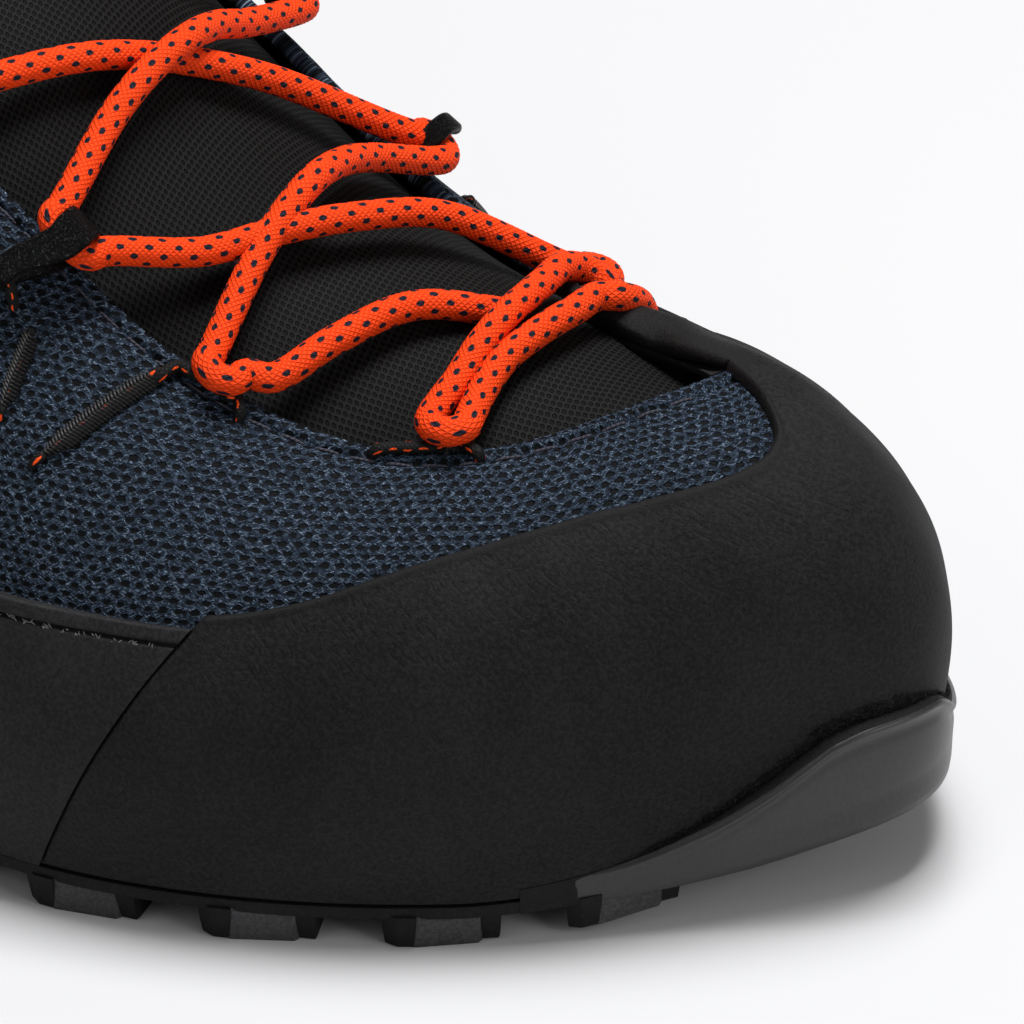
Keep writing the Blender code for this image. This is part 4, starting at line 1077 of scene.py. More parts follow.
@dataclass(frozen=True)
class ThreadFinish(Finish):
    """Sewing thread or satin stitches, with a painted highlight along the crests of the plies."""

    tint: Tint
    light: Tint
    roughness: float = 0.45

    def dress(self, g: Graph) -> None:
        """Set the colour and the relief."""
        turn, run = g.uv()
        ply = (turn * 2.0 + run * 1.6).wave()
        hair = g.noise(turn * 9.0, run * 2.5, detail=2)
        # Painted highlight: the light tint along the ply crests stands in for glints; the hair noise adds
        # real variation.
        shade = g.mix(ply * 0.4 + hair * 0.5, self.tint, self.light)
        g.set(Base_Color=shade, Roughness=self.roughness, Specular_IOR_Level=0.25)
        g.bump(ply, 0.00006)


@dataclass(frozen=True)
class StrapFinish(Finish):
    """Coated strap with fine ribs along it and a crackled gloss."""

    name: str = "coated_strap"
    tint: Tint = (0.0022, 0.0023, 0.0025)
    light: Tint = (0.0050, 0.0053, 0.0058)
    roughness: float = 0.30
    rib: float = 0.55

    def dress(self, g: Graph) -> None:
        """Set the colour and the relief."""
        across, run = g.uv()
        rib = (across / self.rib).wave()
        crackle = g.cloud(3.0, detail=4, rough=0.75)
        shade = g.mix(crackle.ramp(0.50, 0.80), self.tint, self.light)
        g.set(Base_Color=shade, Roughness=self.roughness)
        g.set(Specular_IOR_Level=crackle.ramp(0.52, 0.70) * 0.60 + 0.05)
        g.bump(rib, 0.00001)
        g.bump(crackle, 0.00034)


@dataclass(frozen=True)
class KnitFinish(Finish):
    """Plain fine knit for linings, footbed and collar."""

    dark: Tint
    light: Tint
    wale: float = 0.62

    def dress(self, g: Graph) -> None:
        """Set the colour and the relief."""
        u, v = g.uv()
        slant = ((u / self.wale).part() - 0.5).size() * 1.3
        stitch = (v * (0.9 / self.wale) + slant).wave()
        rib = (u / self.wale).wave()
        fuzz = g.noise(u * 3.5, v * 3.5, detail=3, rough=0.75)
        shade = g.mix(stitch * 0.5 + fuzz * 0.5, self.dark, self.light)
        g.set(Base_Color=shade, Roughness=0.88, Specular_IOR_Level=0.15)
        g.bump(stitch * 0.6 + rib * 0.4, 0.00018)
        g.bump(fuzz, 0.00008)


@dataclass(frozen=True)
class FoamFinish(Finish):
    """Moulded foam of the midsole, with a fine skin."""

    name: str = "midsole_foam"
    tint: Tint = (0.005, 0.005, 0.0055)
    light: Tint = (0.010, 0.010, 0.0105)

    def dress(self, g: Graph) -> None:
        """Set the colour and the relief."""
        cell = g.cloud(2.4, detail=3, rough=0.6)
        g.set(Base_Color=g.mix(cell, self.tint, self.light), Roughness=0.78, Specular_IOR_Level=0.2)
        g.bump(cell, 0.00006)


@dataclass(frozen=True)
class WebbingFinish(Finish):
    """Ribbed webbing of the pull loop."""

    name: str = "webbing"
    tint: Tint = (0.010, 0.010, 0.011)
    light: Tint = (0.040, 0.040, 0.043)
    rib: float = 1.1

    def dress(self, g: Graph) -> None:
        """Set the colour and the relief."""
        across, run = g.uv()
        tooth = (run / self.rib + (across * 0.5).part() * 0.5).wave()
        fuzz = g.noise(across * 5.0, run * 5.0, detail=2, rough=0.8)
        g.set(Base_Color=g.mix(tooth * 0.6 + fuzz * 0.4, self.tint, self.light), Roughness=0.8)
        g.bump(tooth, 0.00022)


@dataclass(frozen=True)
class FloorFinish(Finish):
    """Pale seamless paper."""

    name: str = "studio_floor"
    tint: Tint = (0.614, 0.614, 0.624)

    def dress(self, g: Graph) -> None:
        """Set the colour and the relief."""
        g.set(Base_Color=self.tint, Roughness=0.9, Specular_IOR_Level=0.1)


class Wardrobe:
    """The finishes, each made once."""

    def __init__(self) -> None:
        """Make every material."""
        self.rand = RubberFinish("rand_rubber", stretch=0.00004).build()
        self.side = RubberFinish(
            "side_rubber", dark=(0.0050, 0.0050, 0.0056), light=(0.0235, 0.0235, 0.0252), grain=0.00013,
        ).build()
        self.tab = RubberFinish(
            "tab_rubber", dark=(0.005, 0.005, 0.0052), light=(0.011, 0.0108, 0.011),
        ).build()
        self.bumper = RubberFinish(
            "bumper_rubber", dark=(0.0155, 0.0155, 0.0162), light=(0.0260, 0.0260, 0.0270),
            roughness=0.36, gloss=0.42, grain=0.00003, dust=0.02,
        ).build()
        # Lighter copy of the cleat rubber for the lugs: painted light on their lit faces, with real dust
        # flecks.
        self.tread = RubberFinish(
            "lit_tread_rubber", dark=(0.026, 0.026, 0.0275), light=(0.070, 0.070, 0.073), roughness=0.5,
            gloss=0.25,
        ).build()
        self.cleat = RubberFinish(
            "cleat_rubber", dark=(0.0040, 0.0040, 0.0044), light=(0.012, 0.012, 0.013),
        ).build()
        self.navy = NavyMesh().build()
        self.air = AirMesh().build()
        self.lace = BraidFinish(
            "orange_braid", (0.99, 0.068, 0.0035), (0.66, 0.026, 0.0015), (0.0085, 0.0095, 0.018),
            round_mm=11.6, turns=16, cell=0.812, rows=10, every=3.90, fleck_long=1.05, fleck_wide=0.72,
            relief=0.00016,
        ).build()
        self.cord = BraidFinish(
            "flecked_cord", (0.0075, 0.0080, 0.0078), (0.0015, 0.0015, 0.0015), (0.95, 0.085, 0.008),
            round_mm=4.6, turns=8, cell=0.55, rows=3, every=3.6, fleck_long=1.00, fleck_wide=0.50,
            relief=0.00008,
        ).build()
        self.satin = ThreadFinish("satin_black", (0.0016, 0.0016, 0.0016), (0.014, 0.0136, 0.013)).build()
        # Lighter copy of the black satin for the bars' edge rows: painted light, with stronger painted
        # glints.
        self.satin_lit = ThreadFinish("satin_lit", (0.006, 0.006, 0.0058), (0.085, 0.082, 0.079)).build()
        self.lilac = ThreadFinish("lilac_thread", (0.022, 0.021, 0.031), (0.075, 0.071, 0.095), 0.6).build()
        self.lint = ThreadFinish("pale_thread", (0.10, 0.10, 0.10), (0.26, 0.25, 0.24), 0.8).build()
        self.strap = StrapFinish().build()
        self.lining = KnitFinish("black_lining", (0.004, 0.004, 0.005), (0.018, 0.018, 0.021)).build()
        self.collar = KnitFinish("collar_knit", (0.005, 0.007, 0.012), (0.020, 0.026, 0.040)).build()
        self.footbed = KnitFinish("footbed_knit", (0.014, 0.015, 0.017), (0.045, 0.047, 0.052), 0.9).build()
        self.film = RubberFinish(
            "counter_film", dark=(0.010, 0.0105, 0.012), light=(0.018, 0.019, 0.022), roughness=0.5,
        ).build()
        self.foam = FoamFinish().build()
        self.webbing = WebbingFinish().build()
        self.floor = FloorFinish().build()


@dataclass
class Part:
    """A sub-assembly: the surface that it lies on and the finishes that it wears."""

    last: Last
    wear: Wardrobe

    def place(
        self, shape: Shape, name: str, materials: Sequence[bpy.types.Material], slot: str,
        nodes: Iterable[str] = (), padded: float | None = None, weld: bool = False, angle: float = 50.0,
    ) -> None:
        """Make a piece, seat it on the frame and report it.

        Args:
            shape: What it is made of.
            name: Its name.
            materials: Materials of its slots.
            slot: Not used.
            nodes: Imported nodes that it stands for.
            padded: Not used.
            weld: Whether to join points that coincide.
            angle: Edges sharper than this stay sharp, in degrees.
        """
        obj = shape.make(name, self.last.shift, materials, angle, weld)
        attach(obj, "root")
        if nodes:
            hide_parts(*nodes)
        LOG.info("%s: %d faces", obj.name, len(obj.data.polygons))


# Upper and its overlays

@dataclass
class MeshUpper(Part):
    """Hollow mesh upper with a folded rim and its running stitches."""

    columns: int = 720
    rim_roll: float = 0.00034
    channel_depth: float = 0.00042
    channel_at: float = 0.0019
    stitch_length: float = 0.0033
    stitch_gap: float = 0.0011
    thread: float = 0.00017

    def relief(self, u: Array, t: Array) -> Array:
        """How far the mesh stands off the last: the folded rim and the channel below it."""
        down = self.last.rim_gap(u, t)
        throat = smooth((u - 3.9) / 0.6) * smooth((19.2 - u) / 0.6)
        fold = self.rim_roll * bell(down, 0.0008, 0.0007)
        channel = self.channel_depth * bell(down, self.channel_at, 0.00042)
        run = np.sin(u * 21.0) * 0.5 + np.sin(u * 47.0 + 1.3) * 0.3
        pull = 0.00010 * run * bell(down, 0.003, 0.003)
        return throat * (fold - channel + pull) + (1 - throat) * 0.6 * fold

    def levels(self) -> Array:
        """Levels of the outer face, close together near the rim."""
        return np.concatenate([np.linspace(0, .86, 54), np.linspace(.868, .9985, 42)])

    def build(self) -> None:
        """Make the shell and its stitches."""
        last = self.last
        u = np.linspace(0, ROUND, self.columns + 1)[:-1]
        t = self.levels()
        uu, tt = np.meshgrid(u, t, indexing="ij")
        off = self.relief(uu, tt)
        outer = last.skin(uu, tt, off)
        turn = np.radians(np.linspace(15, 165, 7))
        ru, ra = np.meshgrid(u, turn, indexing="ij")
        half = last.wall / 2
        span = last.span(u, 0 * u + 1)
        up = 0.0006 * np.sin(ra) / span[:, None]
        roll = last.skin(ru, .9985 + up, off[:, -1:] * (np.cos(ra) + 1) / 2 + half * (np.cos(ra) - 1))
        back = np.linspace(.9985, 0, 20)
        bu, bt = np.meshgrid(u, back, indexing="ij")
        inner = last.skin(bu, bt, 0 * bu - last.wall)
        grid = np.concatenate([outer, roll, inner], 1)
        wide = np.append(u, ROUND)
        levels = np.concatenate([t, 0 * turn + 1.0, back, [0.0]])
        wu, wt = np.meshgrid(wide, levels, indexing="ij")
        shape = Shape()
        shape.grid(grid, last.cloth(wu, wt), round_u=True, round_v=True)
        split = len(t) + len(turn) - 2
        cells = np.arange(grid.shape[1])[None, :].repeat(self.columns, 0).ravel()
        shape.slots[0] = np.where(cells > split, 1, 0)
        self.place(shape, "mesh_upper", (self.wear.navy, self.wear.lining), "upper_mesh", ("upper",))
        self.stitches()

    def stitches(self) -> None:
        """Running stitches in the channel below the throat's rim."""
        last = self.last
        shape = Shape()
        for start, stop in ((4.3, 11.75), (14.0, 18.9)):
            u = np.linspace(start, stop, 900)
            level = 1 - self.channel_at / (last.rim_gap(u, 0 * u))
            line = last.skin(u, level, self.relief(u, level) + self.thread * 0.55)
            run = run_along(line)
            step = self.stitch_length + self.stitch_gap
            for k in range(int(run[-1] / step)):
                at = np.linspace(k * step, k * step + self.stitch_length, 9)
                path = np.stack([np.interp(at, run, line[:, c]) for c in range(3)], -1)
                middle = np.interp(at, run, u)
                n = last.normal(middle, np.interp(middle, u, level))
                arch = np.sin(np.linspace(0, np.pi, 9)) ** 0.5
                path = path + n * (arch[:, None] * 1.6 - 0.9) * self.thread
                shape.tube(path, self.thread, 6)
        self.place(shape, "throat_stitches", (self.wear.lilac,), "upper_mesh")


@dataclass
class ToeRand(Part):
    """Rubber toe rand with its free tab over the front of the tongue."""

    lip: float = 0.0007
    tab_rise: float = 0.015
    tip_long: float = 0.0040
    tip_curl: float = 0.0012
    tip_narrow: float = 0.30

    def stations(self) -> Array:
        """Stations of the columns at the top edge, closer at the tab's sides."""
        parts = [
            np.linspace(7.80, 11.2, 150)[:-1], np.linspace(11.2, TAB_FROM - .03, 60)[:-1],
            np.linspace(TAB_FROM - .03, TAB_FROM, 4)[:-1],
            TAB_FROM + np.array([0, .02, .05, .09, .14]),
            np.linspace(TAB_FROM + .20, TAB_TO - .20, 44),
            TAB_TO - np.array([.14, .09, .05, .02, 0]),
            np.linspace(TAB_TO, TAB_TO + .03, 4)[1:], np.linspace(TAB_TO + .03, 15.90, 100)[1:],
        ]
        return np.concatenate(parts)

    def ridge(self, u: Array, t: Array) -> Array:
        """Share of the extra height on the ridge that leads to the tab."""
        across = smooth((u - 11.8) / 0.7) * smooth((14.0 - u) / 0.8)
        return across * smooth((t - 0.55) / 0.45)

    def tab_points(self, u: Array, s: Array, depth: Array) -> Array:
        """Free tab: from the rim at station u back over the tongue, depth below its face."""
        last = self.last
        lift = last.gap + last.rand + last.rand_lift
        root = last.skin(u, 1 + 0 * u, last.gap + last.rand + last.rand_lift * self.ridge(u, 1 + 0 * u))
        share = (u - TAB_FROM) / (TAB_TO - TAB_FROM)
        middle = last.spot(TAB_MIDDLE, 1.0, lift)
        end = smooth((s - 0.55) / 0.45)
        width = 0.038 * last.ball * (1 - 0.25 * s - self.tip_narrow * end)
        side = (2 * share - 1) * -1
        round_end = np.sqrt(np.clip(1 - 0.55 * side * side, 0, 1))
        tip = np.stack([
            middle[0] - last.tab_length * s * (0.35 + 0.65 * round_end) - self.tip_long * end,
            middle[1] - 0.010 * last.ball * s - side * width,
            middle[2] + self.tab_rise * last.tab_length * s - 0.0016 * side * side + self.tip_curl * end,
        ], -1)
        blend = smooth(s / 0.55)[..., None]
        straight = root + (np.array([-1.0, -0.12, self.tab_rise]) * last.tab_length) * s[..., None]
        point = straight * (1 - blend) + tip * blend
        point[..., 2] += 0.0008 * smooth(s * 3) - depth
        return point

    def grid_levels(self) -> tuple[Array, Array]:
        """Station and level of every point of the rand, the seams' slant included."""
        top_u = self.stations()
        close = 1 - np.array([.055, .042, .031, .022, .014, .008, .0035, .001, 0])
        share = np.concatenate([[-.016], np.linspace(0, .93, 64), close])
        edge = soft_lookup(TOE_EDGE, top_u)
        uu = np.repeat(top_u[:, None], len(share), 1)
        for seam, far in ((OUTER_SEAM, 8.9), (INNER_SEAM, 14.9)):
            level = share[None, :] * edge[:, None]
            slant = (seam[0] - seam[1]) * (1 - level / seam[2])
            near = smooth((far - top_u) / (far - seam[1]))
            uu = uu + np.clip(slant * near[:, None], -1, 1) * (near > 0)[:, None]
        return uu, share[None, :] * edge[:, None]

    def build(self) -> None:
        """Make the rand."""
        last = self.last
        uu, tt = self.grid_levels()
        nu, nt = uu.shape
        station = self.stations()
        span = last.span(uu[:, -1], tt[:, -1])
        down = (tt[:, -1:] - tt) * span[:, None]
        tabbed = ((station > TAB_FROM - 1e-6) & (station < TAB_TO + 1e-6))[:, None]
        ends = from_ends(nu) * 0.00045
        near = np.minimum(np.where(tabbed, 1.0, down), ends + 0.00008)
        rounding = rounded(near, self.lip)
        bead = 0.00018 * bell(np.where(tabbed, 1.0, down), 0.0009, 0.0006)
        sway = 0.00012 * np.sin(uu * 9.0 + tt * 7.0) * np.sin(tt * 11.0 + uu * 3.1)
        thick = last.rand * (0.12 + 0.88 * rounding) + bead + sway * smooth(tt / .2)
        face = last.gap + thick + last.rand_lift * self.ridge(uu, tt)
        outer = last.skin(uu, tt, face)
        inner = last.skin(uu, tt, 0 * uu + last.gap * 0.4)
        tab_s = np.concatenate([np.linspace(0, .90, 26)[1:], np.array([.93, .955, .975, .988, .996, 1.0])])
        su, ss = np.meshgrid(station, tab_s, indexing="ij")
        safe = np.clip(su, TAB_FROM, TAB_TO)
        aside = np.minimum(safe - TAB_FROM, TAB_TO - safe) * 0.011 + 0.00002
        tip = (1 - ss) * last.tab_length + 0.00002
        close = np.minimum(aside, tip)
        edge = rounded(close, 0.0009)
        upper_face = self.tab_points(safe, ss, 0.5 * last.tab * (1 - edge))
        lower_face = self.tab_points(safe, ss, last.tab * (0.5 + 0.5 * edge))
        outer = np.concatenate([outer, upper_face], 1)
        inner = np.concatenate([inner, lower_face], 1)
        keep = np.ones((nu - 1, outer.shape[1] - 1), bool)
        keep[:, nt - 1:] = (tabbed[:-1] & tabbed[1:])
        top = last.cloth(uu, tt)
        more = np.stack(np.broadcast_arrays(top[:, -1:, 0], top[:, -1:, 1] + ss * last.tab_length / MM), -1)
        uv = np.concatenate([top, more], 1)
        shape = Shape()
        shape.grid(outer, uv, keep=keep)
        columns = np.arange(outer.shape[1] - 1)[None, :].repeat(nu - 1, 0)
        shape.slots[0] = (columns >= nt - 8)[keep].astype(int)
        shape.grid(inner, uv, keep=keep, flip=True, slot=1)
        shape.rim(outer, inner, keep)
        self.place(shape, "toe_rand_rubber", (self.wear.rand, self.wear.tab),
                   "rand_rubber", ("toe_rand",), weld=True)
        self.under_layer()

    def under_layer(self) -> None:
        """Thin second layer under the tab's outer side, with a dark gap between the two."""
        last = self.last
        u = np.linspace(11.72, 13.6, 60)
        s = np.linspace(-.02, .90, 30)
        uu, ss = np.meshgrid(u, s, indexing="ij")
        fade = smooth((uu - 11.7) / .25)
        safe = np.clip(uu, TAB_FROM, TAB_TO)
        down = last.tab + 0.0005 + 0.0003 * ss
        top = self.tab_points(safe, np.clip(ss, 0, 1), down)
        root = last.skin(uu, 0 * uu + 1.0, 0 * uu + last.gap)
        mix = (smooth((ss + .02) / .22) * fade)[..., None]
        face = root * (1 - mix) + top * mix
        under = face - np.array([0, 0, 0.0007])
        shape = Shape()
        shape.sheet(face, under)
        self.place(shape, "tab_lining", (self.wear.side,), "rand_rubber", weld=True)


@dataclass
class SideRand(Part):
    """Side rand round the heel: a narrow folded strip above a stitched groove."""

    groove_at: float = 0.0023

    def build(self) -> None:
        """Make the rand, its strip and its stitches."""
        last = self.last
        start, stop = INNER_SEAM[1], ROUND + OUTER_SEAM[1]
        top_u = np.linspace(start, stop, 360)
        edge = soft_lookup(SIDE_EDGE, top_u)
        share = np.concatenate(
            [[-.04], np.linspace(0, .84, 34), np.linspace(.85, .985, 30), [.992, .997, 1.0]])
        level = share[None, :] * edge[:, None]
        uu = np.repeat(top_u[:, None], len(share), 1)
        for seam, lap, reach in ((INNER_SEAM, 0.0, 1.2), (OUTER_SEAM, ROUND, -1.2)):
            origin = seam[1] + lap
            slant = (seam[0] - seam[1]) * (1 - level / seam[2])
            near = smooth(1 - (top_u - origin) / reach) * ((top_u - origin) / reach < 1)
            uu = uu + slant * near[:, None]
        span = last.span(uu[:, -1], level[:, -1])
        down = (level[:, -1:] - level) * span[:, None]
        strip = 0.00022 * smooth((self.groove_at - down) / 0.0003)
        groove = 0.0006 * bell(down, self.groove_at, 0.00030)
        rounding = rounded(down, 0.0004)
        thick = last.rand * (0.25 + 0.75 * rounding) + strip * rounding - groove
        outer = last.skin(uu, level, last.gap + thick)
        inner = last.skin(uu, level, 0 * uu + 0.4 * last.gap)
        uv = last.cloth(uu, level)
        shape = Shape()
        shape.sheet(outer, inner, uv)
        self.place(shape, "side_rand_rubber", (self.wear.side,), "rand_rubber", ("side_rand",), weld=True)
        self.stitches(top_u, edge, span)

    def stitches(self, top_u: Array, edge: Array, span: Array) -> None:
        """Short pale stitches in the groove, with loose ends.

        Args:
            top_u: Stations of the columns.
            edge: Level of the top edge at each.
            span: Metres a unit of level at each.
        """
        last = self.last
        rng = np.random.default_rng(5)
        level = edge - self.groove_at / span
        line = last.skin(top_u, level, 0 * top_u + last.gap + last.rand - 0.0003)
        run = run_along(line)
        shape = Shape()
        for at in np.arange(0.002, run[-1] - 0.004, 0.0022):
            for _ in range(int(rng.integers(3, 7))):
                s = at + rng.uniform(-.0006, .0006)
                u = float(np.interp(s, run, top_u))
                t = float(np.interp(s, run, level)) + rng.uniform(-.0045, .0045)
                n = last.facing(u, t)
                spot = last.spot(u, t, last.gap + last.rand - 0.0002)
                way = rng.normal(size=3)
                way -= n * np.dot(way, n)
                way /= np.linalg.norm(way)
                length = rng.uniform(.00018, .00050)
                k = np.linspace(-1, 1, 5)
                path = spot + way * (k * length)[:, None] + n * ((1 - k * k) * 0.00014)[:, None]
                shape.tube(path, 0.00007, 5)
        self.place(shape, "rand_stitches", (self.wear.lint,), "rand_rubber")


@dataclass
class HeelCounter(Part):
    """Film overlay that stiffens the heel."""

    def build(self) -> None:
        """Make the counter."""
        last = self.last
        u = np.linspace(20.67, 25.33, 220)
        low = soft_lookup(SIDE_EDGE, u) + 0.015
        high = soft_lookup(COUNTER_EDGE, u)
        share = np.concatenate([[0, .006, .015, .03], np.linspace(.05, .95, 34), [.97, .985, .994, 1.0]])
        tt = low[:, None] + (high - low)[:, None] * share
        uu = np.repeat(u[:, None], len(share), 1)
        span = last.span(u, high)
        away = np.minimum(tt - low[:, None], high[:, None] - tt) * span[:, None]
        away = np.minimum(away, from_ends(len(u)) * 0.0008)
        rounding = rounded(away, 0.0009)
        rib = 0.0003 * bell(away, 0.0045, 0.0007)
        outer = last.skin(uu, tt, last.gap * .5 + last.counter * (0.1 + 0.9 * rounding) - rib)
        inner = last.skin(uu, tt, 0 * uu + last.gap * .4)
        shape = Shape()
        uv = last.cloth(uu, tt)
        shape.sheet(outer, inner, uv)
        self.place(shape, "heel_counter_film", (self.wear.film,),
                   "counter_film", ("heel_counter",), weld=True)


@dataclass
class CollarPad(Part):
    """Padded lining round the collar."""

    def build(self) -> None:
        """Make the padding as a full, rounded roll."""
        last = self.last
        u = np.linspace(19.1, ROUND + 3.9, 260)
        levels = np.linspace(.60, 1.0, 34)
        uu, tt = np.meshgrid(u, levels, indexing="ij")
        seat = last.wall + last.gap * .5
        k = (levels - levels[0]) / (levels[-1] - levels[0])
        swell = np.sin(np.pi * k * 0.86 + 0.10)
        ends = 0.45 + 0.55 * smooth((u - u[0]) / 0.8) * smooth((u[-1] - u) / 0.8)
        crease = 1 - 0.05 * bell(k, .42, .05)[None, :] - 0.03 * np.sin(uu * 5.2) ** 6
        pad = last.pad * (0.22 + 0.78 * swell)[None, :] * ends[:, None] * crease
        close = from_ends(len(u))
        pad = pad * np.sqrt(np.clip(close / 6, 0.02, 1))
        top = np.sqrt(np.clip((1 - k) / .08, 0.02, 1))[None, :]
        face = last.skin(uu, tt, -seat - pad * top)
        back = last.skin(uu, tt, 0 * uu - seat)
        uv = last.cloth(uu, tt)
        shape = Shape()
        shape.grid(face, uv, flip=True)
        shape.grid(back, uv)
        shape.rim(back, face)
        self.place(shape, "collar_lining", (self.wear.collar,),
                   "collar_fabric", ("collar_pad",), padded=0.7, weld=True)


@dataclass
class Tongue(Part):
    """Padded tongue that bulges between the throat edges."""

    throat: tuple[float, ...] = (
        .855, .835, .805, .775, .742, .708, .672, .635, .598, .56, .52, .48, .44,
    )
    arc: int = 41
    tips: tuple[tuple[float, float, float], ...] = ((.30, .42, .92), (.62, .80, .87), (.82, 1.0, .76))

    def section(self, x: float) -> tuple[float, float, tuple[Array, Array, Array, Array]]:
        """Stations of both rims and control points of the face between them at x."""
        last = self.last
        seat = -(last.wall + last.tuck)
        ends = []
        for side in (-1, 1):
            u = last.rim_station(x, side)
            rim, low = last.skin(np.array([u, u]), np.array([1.0, .95]), np.array([seat, seat]))
            along = rim - low
            along[2] = min(along[2], 0.62 * abs(along[1]))
            ends.append((u, rim, along / np.linalg.norm(along)))
        (ua, a, da), (ub, b, db) = ends
        span = np.linalg.norm(b - a)
        crown = last.tongue_crown * (1 - 0.45 * smooth((0.64 - x / last.length) / 0.2))
        lift = np.array([0, 0, 4 / 3 * crown * smooth(span / (0.45 * last.ball))])
        return ua, ub, (a, a + da * 0.33 * span + lift, b + db * 0.33 * span + lift, b)

    @staticmethod
    def bezier(control: tuple[Array, Array, Array, Array], s: Array | float) -> Array:
        """Point of a cubic at s."""
        a, b, c, d = control
        s = np.asarray(s, float)[..., None]
        return a * (1 - s) ** 3 + b * 3 * s * (1 - s) ** 2 + c * 3 * s * s * (1 - s) + d * s ** 3

    def row(self, x: float) -> Array:
        """Face of the tongue across the shoe at x, tucked under both rims."""
        last = self.last
        ua, ub, control = self.section(x)
        seat = -(last.wall + last.tuck)
        tuck = np.array([.84, .87, .90, .925, .95, .975])
        left = last.skin(np.full(6, ua), tuck, np.full(6, seat))
        right = last.skin(np.full(6, ub), tuck[::-1], np.full(6, seat))
        return np.concatenate([left, self.bezier(control, np.linspace(0, 1, self.arc)), right])

    def face(self) -> Array:
        """Grid of the tongue's face from under the toe rand to its free top."""
        last = self.last
        count = self.arc + 12
        front = np.linspace(11.35, 13.30, count)
        seat = -(last.wall + last.tuck)
        rows = [last.skin(front, 0 * front + .86, 0 * front + seat)]
        share = np.interp(np.linspace(0, 12, 73), np.arange(13), self.throat)
        rows += [self.row(s * last.length) for s in share]
        top = rows[-1]
        centre = top.mean(0)
        tips = np.array([(0.0, 0.0, 1.0), *self.tips])
        for k in np.linspace(0, 3, 25)[1:]:
            back, rise, width = (np.interp(k, range(4), tips[:, c]) for c in range(3))
            row = top.copy()
            row[:, 0] -= 1.05 * back * last.tongue_rise
            row[:, 1] = centre[1] + (row[:, 1] - centre[1]) * width
            row[:, 2] = centre[2] + (row[:, 2] - centre[2]) * (1 - 0.35 * rise) + rise * last.tongue_rise
            pull = smooth(k / 1.0)
            for side in (slice(0, 7), slice(-1, -8, -1)):
                edge = row[side].copy()
                anchor = edge[-1]
                keep = 1 - pull * np.linspace(.72, 0, 7)[:, None]
                row[side] = anchor + (edge - anchor) * keep
            rows.append(row)
        return np.array(rows)

    def point(self, x: float, y: float) -> tuple[Array, Array]:
        """Point and upward normal of the face nearest to x, y in plan."""
        def at(px: float, py: float) -> Array:
            """Point of the face at px, py."""
            control = self.section(px)[2]
            low, high = 0.0, 1.0
            for _ in range(26):
                mid = (low + high) / 2
                if self.bezier(control, mid)[1] < py:
                    low = mid
                else:
                    high = mid
            return self.bezier(control, (low + high) / 2)

        d = 0.002
        along = at(x + d, y) - at(x - d, y)
        across = at(x, y + d) - at(x, y - d)
        n = np.cross(along, across)
        n = n / max(np.linalg.norm(n), 1e-9)
        return at(x, y), n if n[2] > 0 else -n

    def build(self) -> None:
        """Make the tongue, its lining and its bound top."""
        last = self.last
        face = self.face()
        across = np.gradient(face, axis=1)
        along = np.gradient(face, axis=0)
        n = np.cross(across, along)
        n /= np.maximum(np.linalg.norm(n, axis=-1, keepdims=True), 1e-12)
        if n[len(n) // 2, n.shape[1] // 2, 2] < 0:
            n = -n
        n[0] = n[1]
        n[:, 0], n[:, -1] = n[:, 1], n[:, -2]
        k = np.linspace(-1, 1, face.shape[1])
        thick = 0.0013 + (last.tongue - 0.0013) * smooth(1.25 * (1 - np.abs(k)))
        up = run_along(face[:, 26])
        left = np.minimum(up, up[-1] - up)[:, None]
        thick = thick[None, :] * (0.35 + 0.65 * np.sqrt(np.clip(left / 0.003, 0.0, 1)))
        pillow = 0.00010 * np.sin(up / 0.0105 * 2 * np.pi)[:, None] * smooth(1.6 * (1 - np.abs(k)))[None, :]
        face = face + n * pillow[..., None] * 0.5
        back = face - n * thick[..., None]
        side = run_along(face[30])
        centre = face[:, 26, 0]
        uu = np.interp(-face[..., 0], -centre, up) / MM
        vv = np.interp(face[..., 1], face[30, :, 1], side) / MM
        uv = np.stack([uu, vv], -1)
        shape = Shape()
        shape.grid(face, uv)
        shape.grid(back, uv, slot=1, flip=True)
        shape.rim(face, back)
        self.place(shape, "tongue_mesh_pad", (self.wear.air, self.wear.lining),
                   "tongue_mesh", ("tongue",), padded=0.6, weld=True)
        self.binding(face, back)

    def binding(self, face: Array, back: Array) -> None:
        """Bound edge round the free top of the tongue's two faces."""
        last = self.last
        middle = (face + back) / 2
        rear = len(face) - 22
        path = np.concatenate([middle[rear:, 1], middle[-1, 2:-2], middle[rear:, -2][::-1]])
        path = even_path(path, 160)
        shape = Shape()
        shape.tube(path, 0.0016, 14)
        self.place(shape, "tongue_binding", (self.wear.lining,), "tongue_mesh")


# Lace, loops and the stitched bars that hold them

